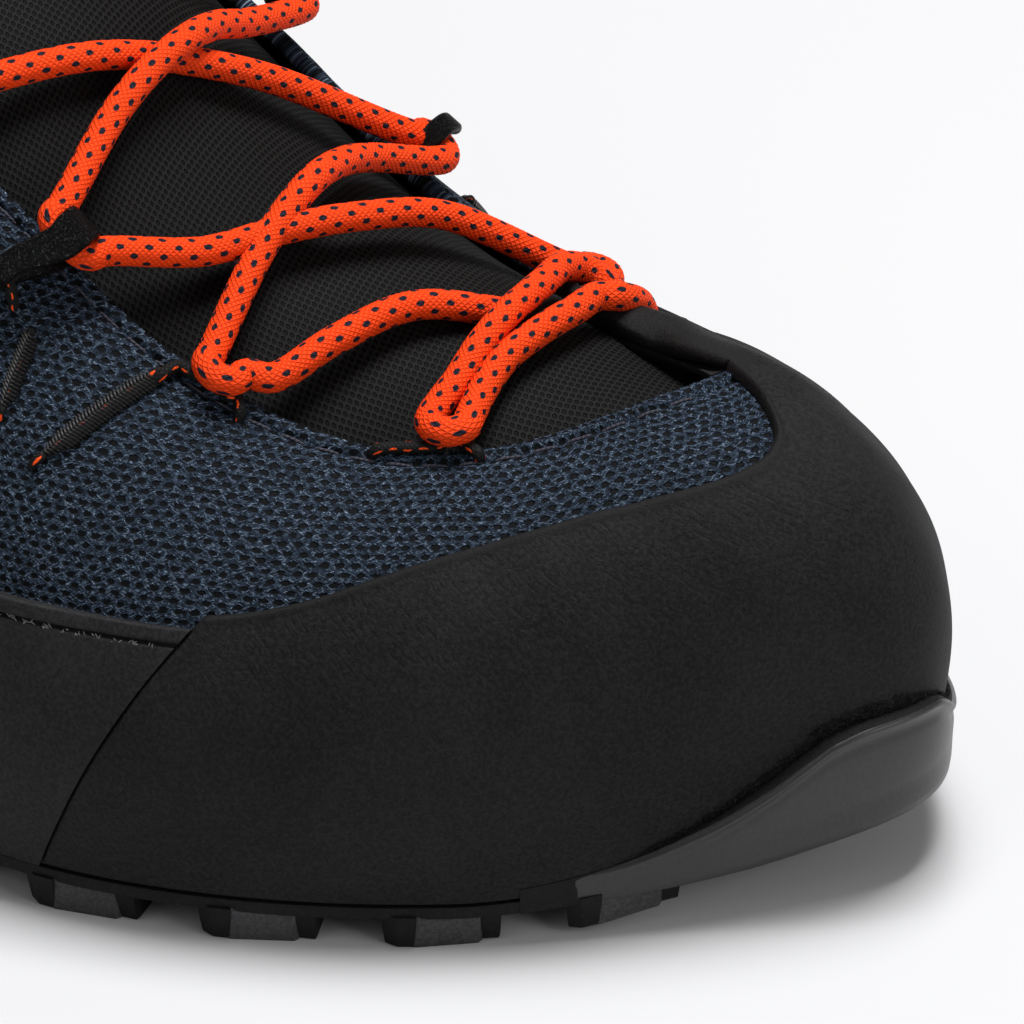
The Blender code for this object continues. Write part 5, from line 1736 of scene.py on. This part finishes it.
@dataclass
class LaceHardware(Part):
    """The lace loops on both sides of the throat and the bars that tie them down."""

    strap_reach: float = 0.0080
    feet: dict[str, tuple[tuple[float, float], tuple[float, float]]] = field(default_factory=lambda: {
        "outer_1": ((-.0098, .0012), (.0036, .0016)),
        "outer_2": ((-.0068, .0048), (.0046, .0028)),
        "inner_1": ((-.0042, .0022), (.0042, .0022)),
    })

    def frame(self, spot: LoopSpot) -> tuple[float, Array, Array, Array, Array, Array]:
        """Station, lace centre, rim direction, out of the throat, up and inward at a loop."""
        last = self.last
        u = last.rim_station(spot.share * last.length, spot.side)
        uu, one = np.array([u]), np.array([1.0])
        rim = last.upper(uu, one)[0]
        up = last.normal(uu, one)[0]
        along = (last.upper(uu + .01, one) - last.upper(uu - .01, one))[0] * (1 if spot.side < 0 else -1)
        along = along / np.linalg.norm(along)
        out = (last.upper(uu, one - .05) - last.upper(uu, one))[0]
        out = out - along * np.dot(out, along)
        out = out / np.linalg.norm(out)
        seat = last.strap + 3 * last.gap if spot.kind is LoopKind.STRAP else 3 * last.gap
        centre = rim + up * (last.lace / 2 + seat) - out * spot.shift * last.lace
        inward = -out * np.array([1, 1, 0.3])
        return u, centre, along, out, up, inward / np.linalg.norm(inward)

    def cord_loop(self, spot: LoopSpot) -> None:
        """Soft loop: a flecked cord from the mesh, under the lace, and back."""
        last = self.last
        _, centre, along, out, up, inward = self.frame(spot)
        low = last.cord / 2 + 0.3 * last.gap
        x = spot.share * last.length
        feet = []
        for way, down in self.feet[spot.name]:
            reach = float(along[0]) * way
            feet.append([
                last.on_mesh(x + reach, spot.side, down, -0.6 * low),
                last.on_mesh(x + 0.92 * reach, spot.side, 0.72 * down, 0.9 * low),
                last.on_mesh(x + 0.70 * reach, spot.side, 0.25 * down, 1.1 * low),
            ])
        middle = centre + inward * 0.5 * last.bend - up * (last.lace / 2 + 0.2 * low)
        beside = [
            middle - inward * 0.55 * last.bend + along * way * 0.9 * last.bend
            for way in (-1, 1)
        ]
        path = catmull([*feet[0], beside[0], middle, beside[1], *feet[1][::-1]], 150)
        shape = Shape()
        shape.tube(path, last.cord / 2 * 1.10, 18, relief=braid_relief(8, 0.55, 0.00004))
        self.place(shape, f"cord_loop_{spot.name}", (self.wear.cord,), "loop_cord", (f"loop_{spot.name}",))

    def strap_loop(self, spot: LoopSpot) -> None:
        """Coated strap folded round the lace, standing off the mesh."""
        last = self.last
        _, centre, along, out, up, _ = self.frame(spot)
        radius = last.lace / 2 + 0.75 * last.strap
        long = self.strap_reach if spot.side < 0 else 0.55 * self.strap_reach
        far = centre + out * long - along * 0.28 * long - up * 0.10 * long
        tail = 0.55 * radius
        ring = []
        for turn in np.linspace(0.30, 1.70, 9) * np.pi:
            ring.append(centre + (out * math.cos(turn) + up * math.sin(turn)) * radius)
        for turn in np.linspace(-0.5, 0.5, 5) * np.pi:
            ring.append(far + (out * math.cos(turn) + up * math.sin(turn)) * tail)
        dense = catmull(ring * 3, 3 * 110)[110:220]
        way = unit_rows(np.roll(dense, -1, 0) - np.roll(dense, 1, 0))
        across = np.repeat(along[None], len(dense), 0)
        across = unit_rows(across - way * np.sum(across * way, axis=1, keepdims=True))
        up_way = np.cross(across, way)
        away = np.clip((dense - centre) @ out / long, 0, 1)[:, None]
        shape = Shape()
        width = last.strap_width * (0.94 if spot.side < 0 else 0.56)
        shape.band(dense, across * (1 - 0.36 * away), up_way, width, last.strap * .75)
        self.place(shape, f"strap_loop_{spot.name}", (self.wear.strap,), "loop_strap", (f"loop_{spot.name}",))
        if spot.side < 0:
            x = spot.share * last.length
            down = last.on_mesh(x - 0.30 * long, spot.side, 1.35 * long, 0.0002)
            cord = catmull([far, (far + down) / 2 + up * 0.0004, down], 40)
            shape = Shape()
            shape.tube(cord, last.cord / 2 * 0.95, 14)
            self.place(shape, f"strap_cord_{spot.name}", (self.wear.cord,), "loop_cord")

    def bar(self, spot: LoopSpot, cords: Shape) -> None:
        """Two rows of slanted satin stitches over a cord.

        Args:
            spot: The loop that the bar belongs to.
            cords: Piece that collects the cord under the bars.
        """
        last = self.last
        soft = spot.kind is LoopKind.CORD
        foot = spot.share * last.length - (0.80 * last.loop_reach if soft else 0)
        u0 = last.rim_station(foot, spot.side)
        start = last.track(u0, 1.0, 3.2 * last.cord if soft else 1.15 * last.loop_reach + 1.4 * last.strap)
        reach = last.bar_length * (0.9 if soft else 0.5)
        lean = spot.side * (last.bar_lean if soft else 0.1 * last.bar_lean)
        s = np.linspace(-.10, 1.24, 68)
        u = u0 + s * lean
        t = np.array([
            last.track(k, start, reach * q) if q >= 0 else start - q * (start - last.track(k, start, reach))
            for k, q in zip(u, s)
        ])
        step = np.linalg.norm(last.upper(u + .01, t) - last.upper(u - .01, t), axis=-1) / .02
        pitch = 0.00050
        half = last.bar_width / 2 * (0.92 if soft else 0.78)

        def spot_at(q: Array, w: Array, off: Array) -> Array:
            """Points at shares q along and offsets w across the bar."""
            at_u = np.interp(q, s, u) + w / np.interp(q, s, step)
            return last.skin(at_u, np.interp(q, s, t), off)

        # The edge row wears the lit copy of the satin, which is painted light; the main row wears the black
        # satin.
        rows = (
            (-1, 0.75, 0.60, 0.00014, self.wear.satin_lit), (1, 0.30, 0.95, 0.00019, self.wear.satin),
        )
        for row, slant, width, radius, material in rows:
            shape = Shape()
            for k in range(int(reach / pitch)):
                q = (k + 0.5) * pitch / reach
                taper = min(1.0, 0.35 + 4 * (1 - q), 0.55 + 6 * q)
                w = np.linspace(-0.10, 1.0, 8) * half * row * width * taper
                lead = -np.abs(w) * slant / reach
                arch = np.sin(np.linspace(0.36, 1.0, 8) * np.pi) ** 0.7
                shape.tube(spot_at(q + lead, w, arch * 0.00074 + 0.00010), radius, 6)
            name = f"satin_bar_{spot.name}" if row > 0 else f"satin_edge_{spot.name}"
            self.place(shape, name, (material,), "bar_thread", (f"bar_{spot.name}",) if row > 0 else ())
        q = np.linspace(-.10, 1.20, 60)
        sink = smooth((q - 1.08) / .12) * 0.0013 + 0.0010 * smooth((q + .02) / .05) * smooth((1.03 - q) / .05)
        cords.tube(spot_at(q, 0 * q, 0.0005 - sink), 0.00058, 12)

    def build(self) -> None:
        """Make every loop and bar."""
        cords = Shape()
        for spot in LOOPS:
            if spot.kind is LoopKind.CORD:
                self.cord_loop(spot)
            else:
                self.strap_loop(spot)
            if spot.name not in ("outer_1", "inner_1"):
                self.bar(spot, cords)
        self.place(cords, "bar_cords", (self.wear.cord,), "loop_cord")


def braid_relief(turns: int, cell: float, height: float) -> Callable[[Array, Array], Array]:
    """Relief of a braid's lozenges.

    Args:
        turns: Lozenges round the braid.
        cell: Length of a lozenge in millimetres.
        height: Height of the relief in metres.
    Returns:
        A function of the turn (0 to 1) and the run in millimetres.
    """
    def relief(turn: Array, run: Array) -> Array:
        """Extra radius at a place."""
        a, b = turn * turns + run / cell, turn * turns - run / cell
        return height * (np.sin(np.pi * a) ** 2 * np.sin(np.pi * b) ** 2 * 2 - 0.6)

    return relief


@dataclass
class Lace(Part):
    """Round braided lace in two halves that cross over the tongue."""

    tongue: Tongue
    hardware: LaceHardware
    low: tuple[tuple[float, float], ...] = ((.28, .30), (.42, .10), (.58, .10), (.72, .30))
    high: tuple[tuple[float, float], ...] = ((.26, .40), (.38, .62), (.50, .84), (.62, .62), (.74, .40))
    tab_lead: tuple[tuple[float, float, float], ...] = (
        (-15.4, 8.2, -4.4), (-15.1, 5.6, 0.4), (-14.7, 1.2, 3.7), (-15.4, -1.2, 4.9),
        (-16.6, -3.0, 5.3), (-17.0, -6.7, 5.4), (-17.7, -11.0, 5.5), (-18.7, -15.0, 5.0),
        (-19.6, -19.6, 4.1), (-19.6, -24.5, 2.5),
    )
    tab_curl: tuple[tuple[float, float, float], ...] = (
        (-22.9, -25.0, 3.0), (-22.8, -20.0, 5.2), (-22.4, -14.9, 6.8), (-22.2, -9.7, 7.2),
        (-22.5, -5.1, 6.8), (-22.9, -0.6, 6.4), (-22.6, 2.9, 5.0), (-21.2, 4.4, 3.9),
        (-19.8, 4.7, 2.6), (-19.2, 6.3, 0.8),
    )
    past_tab: tuple[tuple[float, float], ...] = ((.24, .60), (.42, .55), (.58, .45), (.76, .40))

    def bend(self, name: str) -> list[Array]:
        """Points that carry the lace through a loop, from its rear side to its front."""
        last = self.last
        spot = next(row for row in LOOPS if row.name == name)
        _, centre, along, _, _, inward = self.hardware.frame(spot)
        flat = 0.0
        if spot.kind is LoopKind.STRAP:
            flat = (0.24 if spot.side < 0 else 0.0) * last.strap_width
        points = []
        for angle in (-100, -55, -15, 15, 55, 100):
            turn = math.radians(angle)
            way = math.copysign(flat, angle) + last.bend * math.sin(turn)
            points.append(centre + along * way + inward * last.bend * (1 - math.cos(turn)))
        return points

    def strand(self, start: Array, stop: Array, heights: Sequence[tuple[float, float]]) -> list[Array]:
        """Free part of the lace over the tongue.

        Args:
            start: Where it leaves one loop.
            stop: Where it reaches the next.
            heights: Shares of the way and levels above the tongue in laces.
        Returns:
            Points of its centre line.
        """
        last = self.last
        points = []
        for share, height in heights:
            plan = start + (stop - start) * share
            face, n = self.tongue.point(plan[0], plan[1])
            points.append(face + n * (last.lace / 2 + last.gap + height * last.lace))
        return points

    def by_tab(self, steps: Sequence[tuple[float, float, float]]) -> list[Array]:
        """Points given in millimetres from the tab's root."""
        last = self.last
        root = last.spot(TAB_MIDDLE, 1.0, last.gap)
        return [root + np.array(step) * MM for step in steps]

    def path(self, stops: Sequence[str], lead: Sequence[Array]) -> list[Array]:
        """Centre line of one half of the lace through its loops."""
        path = list(lead)
        for k, name in enumerate(stops):
            bend = self.bend(name)[::-1]
            if k:
                heights = self.high if k % 2 else self.low
                if name == "outer_3":
                    heights = self.past_tab
                if name == "inner_1":
                    path += self.by_tab(self.tab_curl)
                else:
                    path += self.strand(path[-1], bend[0], heights)
            path += bend
        return path

    def halves(self) -> tuple[list[Array], list[Array]]:
        """Points of both halves of the lace."""
        last = self.last
        size, reach = last.lace, last.tab_length
        root = last.spot(TAB_MIDDLE, 1.0, last.gap)
        stops = ("outer_1", "inner_1", "outer_3", "inner_3", "outer_5", "inner_5")
        half_a = self.path(stops, self.by_tab(self.tab_lead))
        face, n = self.tongue.point(root[0] - 0.95 * reach, root[1] - 2.4 * size)
        lead_b = [face + n * (0.28 * size)]
        lead_b += self.strand(lead_b[0], self.bend("outer_2")[-1], ((.30, .20), (.62, .38), (.86, .50)))
        half_b = self.path(("outer_2", "inner_2", "outer_4", "inner_4", "outer_6"), lead_b)
        return half_a, half_b

    def build(self) -> None:
        """Make both halves."""
        last = self.last
        relief = braid_relief(16, 0.812, 0.00004)
        names = ("lace_first_half", "lace_second_half")
        for name, points, nodes in zip(names, self.halves(), (("lace",), ())):
            rough = np.array(points)
            length = np.linalg.norm(np.diff(rough, axis=0), axis=1).sum()
            path = catmull(points, int(length / 0.00026))
            shape = Shape()
            shape.tube(path, 0.46 * last.lace, 26, relief=relief)
            self.place(shape, name, (self.wear.lace,), "lace_braid", nodes)


# Sole

@dataclass
class Sole(Part):
    """Outsole with its lugs and toe bumper, midsole and footbed."""

    # Each edge lug is three blocks: the middle one wears slot 0, the lighter tread rubber, as painted light
    # on its lit face; the ends wear slot 1, the dark cleat rubber.
    edge_lug: tuple[tuple[tuple[tuple[float, float], ...], int, float], ...] = (
        (((-.84, .07), (-.72, .00), (-.55, .00), (-.50, .92)), 1, 1.25),
        (((-.62, .015), (-.02, .060), (.20, 1.0), (-.50, 1.0)), 0, 0.30),
        (((-.08, .060), (.12, .045), (.22, .95), (.02, .95)), 1, 1.0),
    )

    def grow(self, u: Array) -> Array:
        """How far the plate reaches outside the sole line."""
        last = self.last
        cap = smooth((u - 10.1) / 1.6) * smooth((15.0 - u) / 1.6)
        return last.sole_out + (last.gap + 0.5 * last.bumper) * cap

    def plate(
        self, name: str, low: Callable[[Array], Array], high: Callable[[Array], Array],
        grow: Callable[[Array], Array], material: bpy.types.Material, slot: str, node: Sequence[str],
        soft: float = 0.0004,
    ) -> None:
        """Flat layer between two heights with rounded edges.

        Args:
            name: Name of the piece.
            low: Height of its underside at x.
            high: Height of its top at x.
            grow: How far it reaches outside the sole line at a station.
            material: Its material.
            slot: Passed on to place, which does not use it.
            node: Nodes that it stands for.
            soft: Radius of its edges.
        """
        last = self.last
        u = np.linspace(0, ROUND, 421)[:-1]
        x, y, nx, ny = last.base(u)
        g = grow(u)
        rings = []
        rows = ((.9, 0.0), (.3, .0), (.08, .12), (0, .3), (0, .7), (.08, .88), (.3, 1.0), (.9, 1.0))
        for inset, share in rows:
            out = g - soft * inset * 1.1
            z = low(x) + (high(x) - low(x)) * share
            rings.append(np.stack([x + nx * out, y + ny * out, z], -1))
        grid = np.stack(rings, 1)
        shape = Shape()
        run = np.concatenate([[0], np.cumsum(np.hypot(np.diff(x), np.diff(y)))])
        uu, vv = np.meshgrid(np.append(run, run[-1]) / MM, np.arange(8.0), indexing="ij")
        shape.grid(grid, np.stack([uu, vv], -1), round_u=True)
        for ring, flip in ((grid[:, 0], True), (grid[:, -1], False)):
            middle = ring.copy()
            middle[:, 1] = 0
            share = np.linspace(0, 1, 7)[None, :, None]
            fill = ring[:, None] * (1 - share) + middle[:, None] * share
            top = high if not flip else low
            fill[:, 1:, 2] = top(fill[:, 1:, 0])
            uv = np.stack([fill[..., 0] / MM, fill[..., 1] / MM], -1)
            uv = np.concatenate([uv, uv[:1]])
            shape.grid(fill, uv, round_u=True, flip=flip)
        self.place(shape, name, (material,), slot, node, weld=True)

    def lug(
        self, shape: Shape, corners: Sequence[tuple[float, float]], slot: int = 0, taper: float = 1.0,
    ) -> None:
        """Tapered lug with broken edges between the floor and the plate.

        Args:
            shape: Piece that collects the lugs.
            corners: Plan corners at its root, in order.
            slot: Material slot of its faces.
            taper: How strongly it narrows towards the floor.
        """
        last = self.last
        root = np.array(corners)
        centre = root.mean(0)
        area = 0.0
        for k in range(4):
            x0, y0 = root[k]
            x1, y1 = root[(k + 1) % 4]
            area += x0 * y1 - x1 * y0
        if area < 0:
            root = root[::-1]
        ring = []
        for k in range(4):
            a, b, c = root[k - 1], root[k], root[(k + 1) % 4]
            for s in (.14, .05):
                ring.append(b + (a - b) * s)
            for s in (.05, .14):
                ring.append(b + (c - b) * s)
        ring = np.array(ring)
        rows = []
        for shrink, level in ((1.0, 1.12), (.985, .80), (.93, .42), (.88, .10), (.855, .03), (.82, 0.0)):
            plan = centre + (ring - centre) * (1 - (1 - shrink) * taper)
            floor = last.sole_lift(plan[:, 0])
            rows.append(np.column_stack([plan, floor + last.lug_depth * level]))
        grid = np.stack(rows, 1)
        shape.grid(grid, np.zeros((len(ring) + 1, len(rows), 2)), round_u=True, flip=True, slot=slot)
        shape.cap(grid[:, -1][::-1], slot)
        shape.cap(grid[:, 0], slot)

    def lugs(self) -> None:
        """Edge lugs that follow the sole line, and square lugs between them."""
        last = self.last
        shape = Shape()
        for side in (-1, 1):
            u = np.linspace(0.0, 11.2, 600) if side < 0 else np.linspace(float(ROUND), 13.6, 600)
            x, y, _, _ = last.base(u)
            run = np.concatenate([[0], np.cumsum(np.hypot(np.diff(x), np.diff(y)))])
            count = int((run[-1] - last.lug_length) / last.lug_pitch)
            for k in range(count + 1):
                middle = last.lug_length * 0.8 + k * last.lug_pitch
                share = last.curves[0](np.interp(middle, run, u))
                if 0.36 < share < 0.50:
                    continue
                at = last.base(np.interp(middle, run, u))
                facing = last.base(last.outline_station(float(at[0]), -side))[1]
                reach = min(last.lug_reach, 0.40 * abs(facing - at[1]))
                for plan, slot, taper in self.edge_lug:
                    corners = []
                    for along, inward in plan:
                        v = np.interp(max(middle + along * last.lug_length, 0), run, u)
                        px, py, nx, ny = last.base(v)
                        g = self.grow(v) + 0.0004 - inward * reach
                        corners.append((float(px + nx * g), float(py + ny * g)))
                    self.lug(shape, corners if side < 0 else corners[::-1], slot, taper)
        self.centre_lugs(shape)
        # Slot 0 is the lighter tread rubber, which is painted light; slot 1 is the dark cleat rubber.
        self.place(shape, "tread_lugs", (self.wear.tread, self.wear.cleat), "outsole_rubber", angle=30)

    def centre_lugs(self, shape: Shape) -> None:
        """Square lugs in rows between the edge lugs."""
        last = self.last
        size = 0.5 * last.lug_length
        for k in range(int(last.length / last.lug_pitch) + 1):
            x = 0.13 * last.length + k * last.lug_pitch
            if x > 0.84 * last.length or 0.33 < x / last.length < 0.52:
                continue
            sides = [last.base(last.outline_station(x, side))[1] for side in (-1, 1)]
            low = sides[0] + last.lug_reach + 0.2 * last.lug_length + size / 2
            high = sides[1] - last.lug_reach - 0.2 * last.lug_length - size / 2
            room = high - low
            if room < 0:
                continue
            rows = max(1, int(room / (1.35 * last.lug_length)) + 1)
            for r in range(rows):
                y = (low + high) / 2 if rows == 1 else low + room * r / (rows - 1)
                ahead = x + (0.2 * last.lug_pitch if r % 2 else 0)
                self.lug(shape, [(ahead + a * size, y + b * size) for a, b in
                                 ((-.6, -.7), (.6, -.5), (.6, .5), (-.6, .7))])

    def bumper(self) -> None:
        """Moulded toe bumper from the tread to its raised lip."""
        last = self.last
        u = np.linspace(BUMPER_EDGE[0][0], BUMPER_EDGE[-1][0], 300)
        top = soft_lookup(BUMPER_EDGE, u)
        seat = last.sole_out + last.fit * 0.3
        end = smooth((u - u[0]) / 1.5) * smooth((u[-1] - u) / 1.5)
        front = smooth((u - 11.0) / 1.2) * smooth((14.6 - u) / 0.9)
        thick = (0.02 + 0.98 * end) * last.bumper
        sink_in = 0.0005 * (1 - end)
        x, y, nx, ny = last.base(u)
        floor = last.tread_top(x) - 0.0014 * end
        rows = []
        for sink, bulge in ((.0, .0), (.0, .70), (.10, .93), (.35, 1.0), (.7, 1.02)):
            out = seat + last.fit * .7 + thick * bulge - sink_in
            z = floor + (last.midsole_top(x) + last.fit - floor) * sink
            rows.append(np.stack([x + nx * out, y + ny * out, z], -1))
        span = np.linalg.norm(last.upper(u, top) - last.upper(u, top * 0), axis=-1)
        steps = np.concatenate([np.linspace(0, .80, 22), np.linspace(.82, 1.0, 26)])
        for share in steps:
            down = (1 - share) * span
            lip = 0.00028 * bell(down, 0.00085, 0.00055) * end
            fall = rounded(down, 0.0007)
            dip = 0.00020 * bell(down, 0.0024, 0.0007) * end
            slim = 1.04 - 0.10 * share - 0.50 * front * share
            off = seat + last.fit * .7 + (thick * slim + lip - dip) * (0.10 + 0.90 * fall) - sink_in
            rows.append(last.skin(u, top * share, off))
        outer = np.stack(rows, 1)
        back = [np.stack([x + nx * seat, y + ny * seat, floor], -1)]
        back += [last.skin(u, top * share, 0 * u + seat) for share in np.linspace(0, 1, 12)]
        loop = np.concatenate([outer, np.stack(back[::-1], 1)], 1)
        shape = Shape()
        shape.grid(loop, round_v=True)
        # The lip's top rows and the hidden back wear the darker cleat rubber: painted shade on the top of the
        # lip, with a duller finish there.
        columns = np.arange(loop.shape[1])[None, :].repeat(len(u) - 1, 0)
        shape.slots[0] = (columns >= 48).ravel().astype(int)
        shape.cap(loop[0][::-1])
        shape.cap(loop[-1])
        self.place(shape, "toe_bumper", (self.wear.bumper, self.wear.cleat), "outsole_rubber", weld=True)
        self.fluff(u, top)

    def fluff(self, u: Array, top: Array) -> None:
        """Textile fluff in the groove above the bumper's lip."""
        last = self.last
        rng = np.random.default_rng(11)
        shape = Shape()
        for _ in range(2000):
            k = rng.uniform(10.2, 14.2)
            tall = 0.004 + 0.021 * float(smooth((k - 10.1) / 1.2) * smooth((12.1 - k) / 0.4))
            t = float(np.interp(k, u, top)) + rng.uniform(-.002, tall)
            n = last.facing(k, t)
            spot = last.spot(k, t, last.sole_out + 0.0001)
            way = rng.normal(size=3)
            way /= np.linalg.norm(way)
            bend = rng.normal(size=3) * 0.3
            s = np.linspace(-1, 1, 4)[:, None]
            length = rng.uniform(.0003, .0008)
            shape.tube(spot + way * s * length + (bend + n * 0.4) * (1 - s * s) * length * 0.4, 0.000048, 3)
        self.place(shape, "bumper_fluff", (self.wear.satin,), "outsole_rubber")

    def build(self) -> None:
        """Make the sole's pieces."""
        last = self.last
        self.plate("outsole_plate", last.tread_top, last.outsole_top, self.grow,
                   self.wear.cleat, "outsole_rubber", ("outsole",))
        self.lugs()
        self.bumper()
        self.plate("midsole_layer", lambda x: last.outsole_top(x) + last.fit, last.midsole_top,
                   lambda u: last.rand + 0 * u, self.wear.foam, "midsole_foam", ("midsole",), 0.0003)
        inset = -(last.wall + 2 * last.gap)
        self.plate("footbed_layer", lambda x: last.midsole_top(x) + last.fit,
                   lambda x: last.midsole_top(x) + last.fit + last.footbed,
                   lambda u: inset + 0 * u, self.wear.footbed, "insole_fabric", ("insole",), 0.0012)


@dataclass
class PullLoop(Part):
    """Webbing loop on the back of the heel."""

    def build(self) -> None:
        """Make the loop."""
        last = self.last
        off = last.gap + 0.6 * last.strap
        low, high = last.spot(0.0, .74, off), last.spot(0.0, .97, off)
        middle = (low + high) / 2
        rise = last.pull_rise
        points = [
            low, middle + np.array([-0.0002, 0, 0]), high,
            high + np.array([0.0, 0, 0.55 * rise]), high + np.array([-0.25 * rise, 0, rise]),
            high + np.array([-0.66 * rise, 0, 0.82 * rise]),
            high + np.array([-0.92 * rise, 0, 0.25 * rise]),
            middle + np.array([-0.70 * rise, 0, 0]),
        ]
        dense = catmull(points * 3, 360)[120:240]
        way = unit_rows(np.roll(dense, -1, 0) - np.roll(dense, 1, 0))
        across = np.repeat(np.array([[0, 1.0, 0]]), len(dense), 0)
        shape = Shape()
        shape.band(dense, across, np.cross(across, way), last.pull_width, last.strap)
        self.place(shape, "pull_loop_webbing", (self.wear.webbing,), "pull_webbing", ("pull_loop",))


# Camera, floor and lights

@dataclass
class Studio(Part):
    """Pale floor, soft light and the camera at the photograph's angle."""

    azimuth: float = 30.0
    elevation: float = 31.0
    distance: float = 0.9
    lens: float = 265.15
    target: tuple[float, float, float] = (0.248, -0.013, 0.045)

    def camera(self) -> None:
        """Place the camera."""
        a, e = math.radians(self.azimuth), math.radians(self.elevation)
        back = Vector((math.sin(a) * math.cos(e), -math.cos(a) * math.cos(e), math.sin(e)))
        data = bpy.data.cameras.new("camera")
        data.lens = self.lens
        data.sensor_width = 36.0
        data.clip_start, data.clip_end = 0.01, 30.0
        obj = bpy.data.objects.new("camera", data)
        obj.location = Vector(self.target) + Vector(self.last.shift) + back * self.distance
        obj.rotation_mode = "QUATERNION"
        obj.rotation_quaternion = (-back).to_track_quat("-Z", "Y")
        bpy.context.scene.collection.objects.link(obj)
        bpy.context.scene.camera = obj

    def panel(
        self, name: str, spot: Sequence[float], aim: Sequence[float], size: float, power: float,
    ) -> None:
        """One soft light.

        Args:
            name: Its name.
            spot: Where it stands.
            aim: What it points at.
            size: Length of its side.
            power: Watts.
        """
        data = bpy.data.lights.new(name, "AREA")
        data.shape = "SQUARE"
        data.size = size
        data.energy = power
        obj = bpy.data.objects.new(name, data)
        obj.location = spot
        way = Vector(aim) - Vector(spot)
        obj.rotation_mode = "QUATERNION"
        obj.rotation_quaternion = way.to_track_quat("-Z", "Y")
        bpy.context.scene.collection.objects.link(obj)

    def floor(self) -> None:
        """Wide floor."""
        k = np.linspace(-3.0, 3.0, 3)
        xx, yy = np.meshgrid(k, k, indexing="ij")
        shape = Shape()
        shape.grid(np.stack([xx, yy, 0 * xx - 0.00002], -1))
        obj = shape.make("studio_floor", np.zeros(3), (self.wear.floor,))

    def build(self) -> None:
        """Set up the studio."""
        self.camera()
        self.floor()
        world = bpy.data.worlds.new("studio")
        world.use_nodes = True
        world.node_tree.nodes["Background"].inputs["Color"].default_value = (1.0, 1.0, 1.0, 1)
        world.node_tree.nodes["Background"].inputs["Strength"].default_value = 0.18
        bpy.context.scene.world = world
        bpy.context.scene.view_settings.view_transform = "Standard"
        self.panel("overhead", (0.10, 0.19, 1.17), (0.08, 0, 0), 0.5, 18.4)
        self.panel("toe_side", (1.00, -0.10, 0.45), (0.10, 0, 0.03), 0.5, 2.8)
        self.panel("front_fill", (-0.3, -1.1, 0.9), (0.05, 0, 0.05), 0.8, 1.5)


def main() -> None:
    """Build every piece in order."""
    logging.basicConfig(level=logging.INFO, format="%(name)s: %(message)s")
    last = Last()
    wear = Wardrobe()
    Sole(last, wear).build()
    MeshUpper(last, wear).build()
    ToeRand(last, wear).build()
    SideRand(last, wear).build()
    HeelCounter(last, wear).build()
    CollarPad(last, wear).build()
    tongue = Tongue(last, wear)
    tongue.build()
    hardware = LaceHardware(last, wear)
    hardware.build()
    Lace(last, wear, tongue, hardware).build()
    PullLoop(last, wear).build()
    Studio(last, wear).build()


if __name__ == "__main__":
    main()
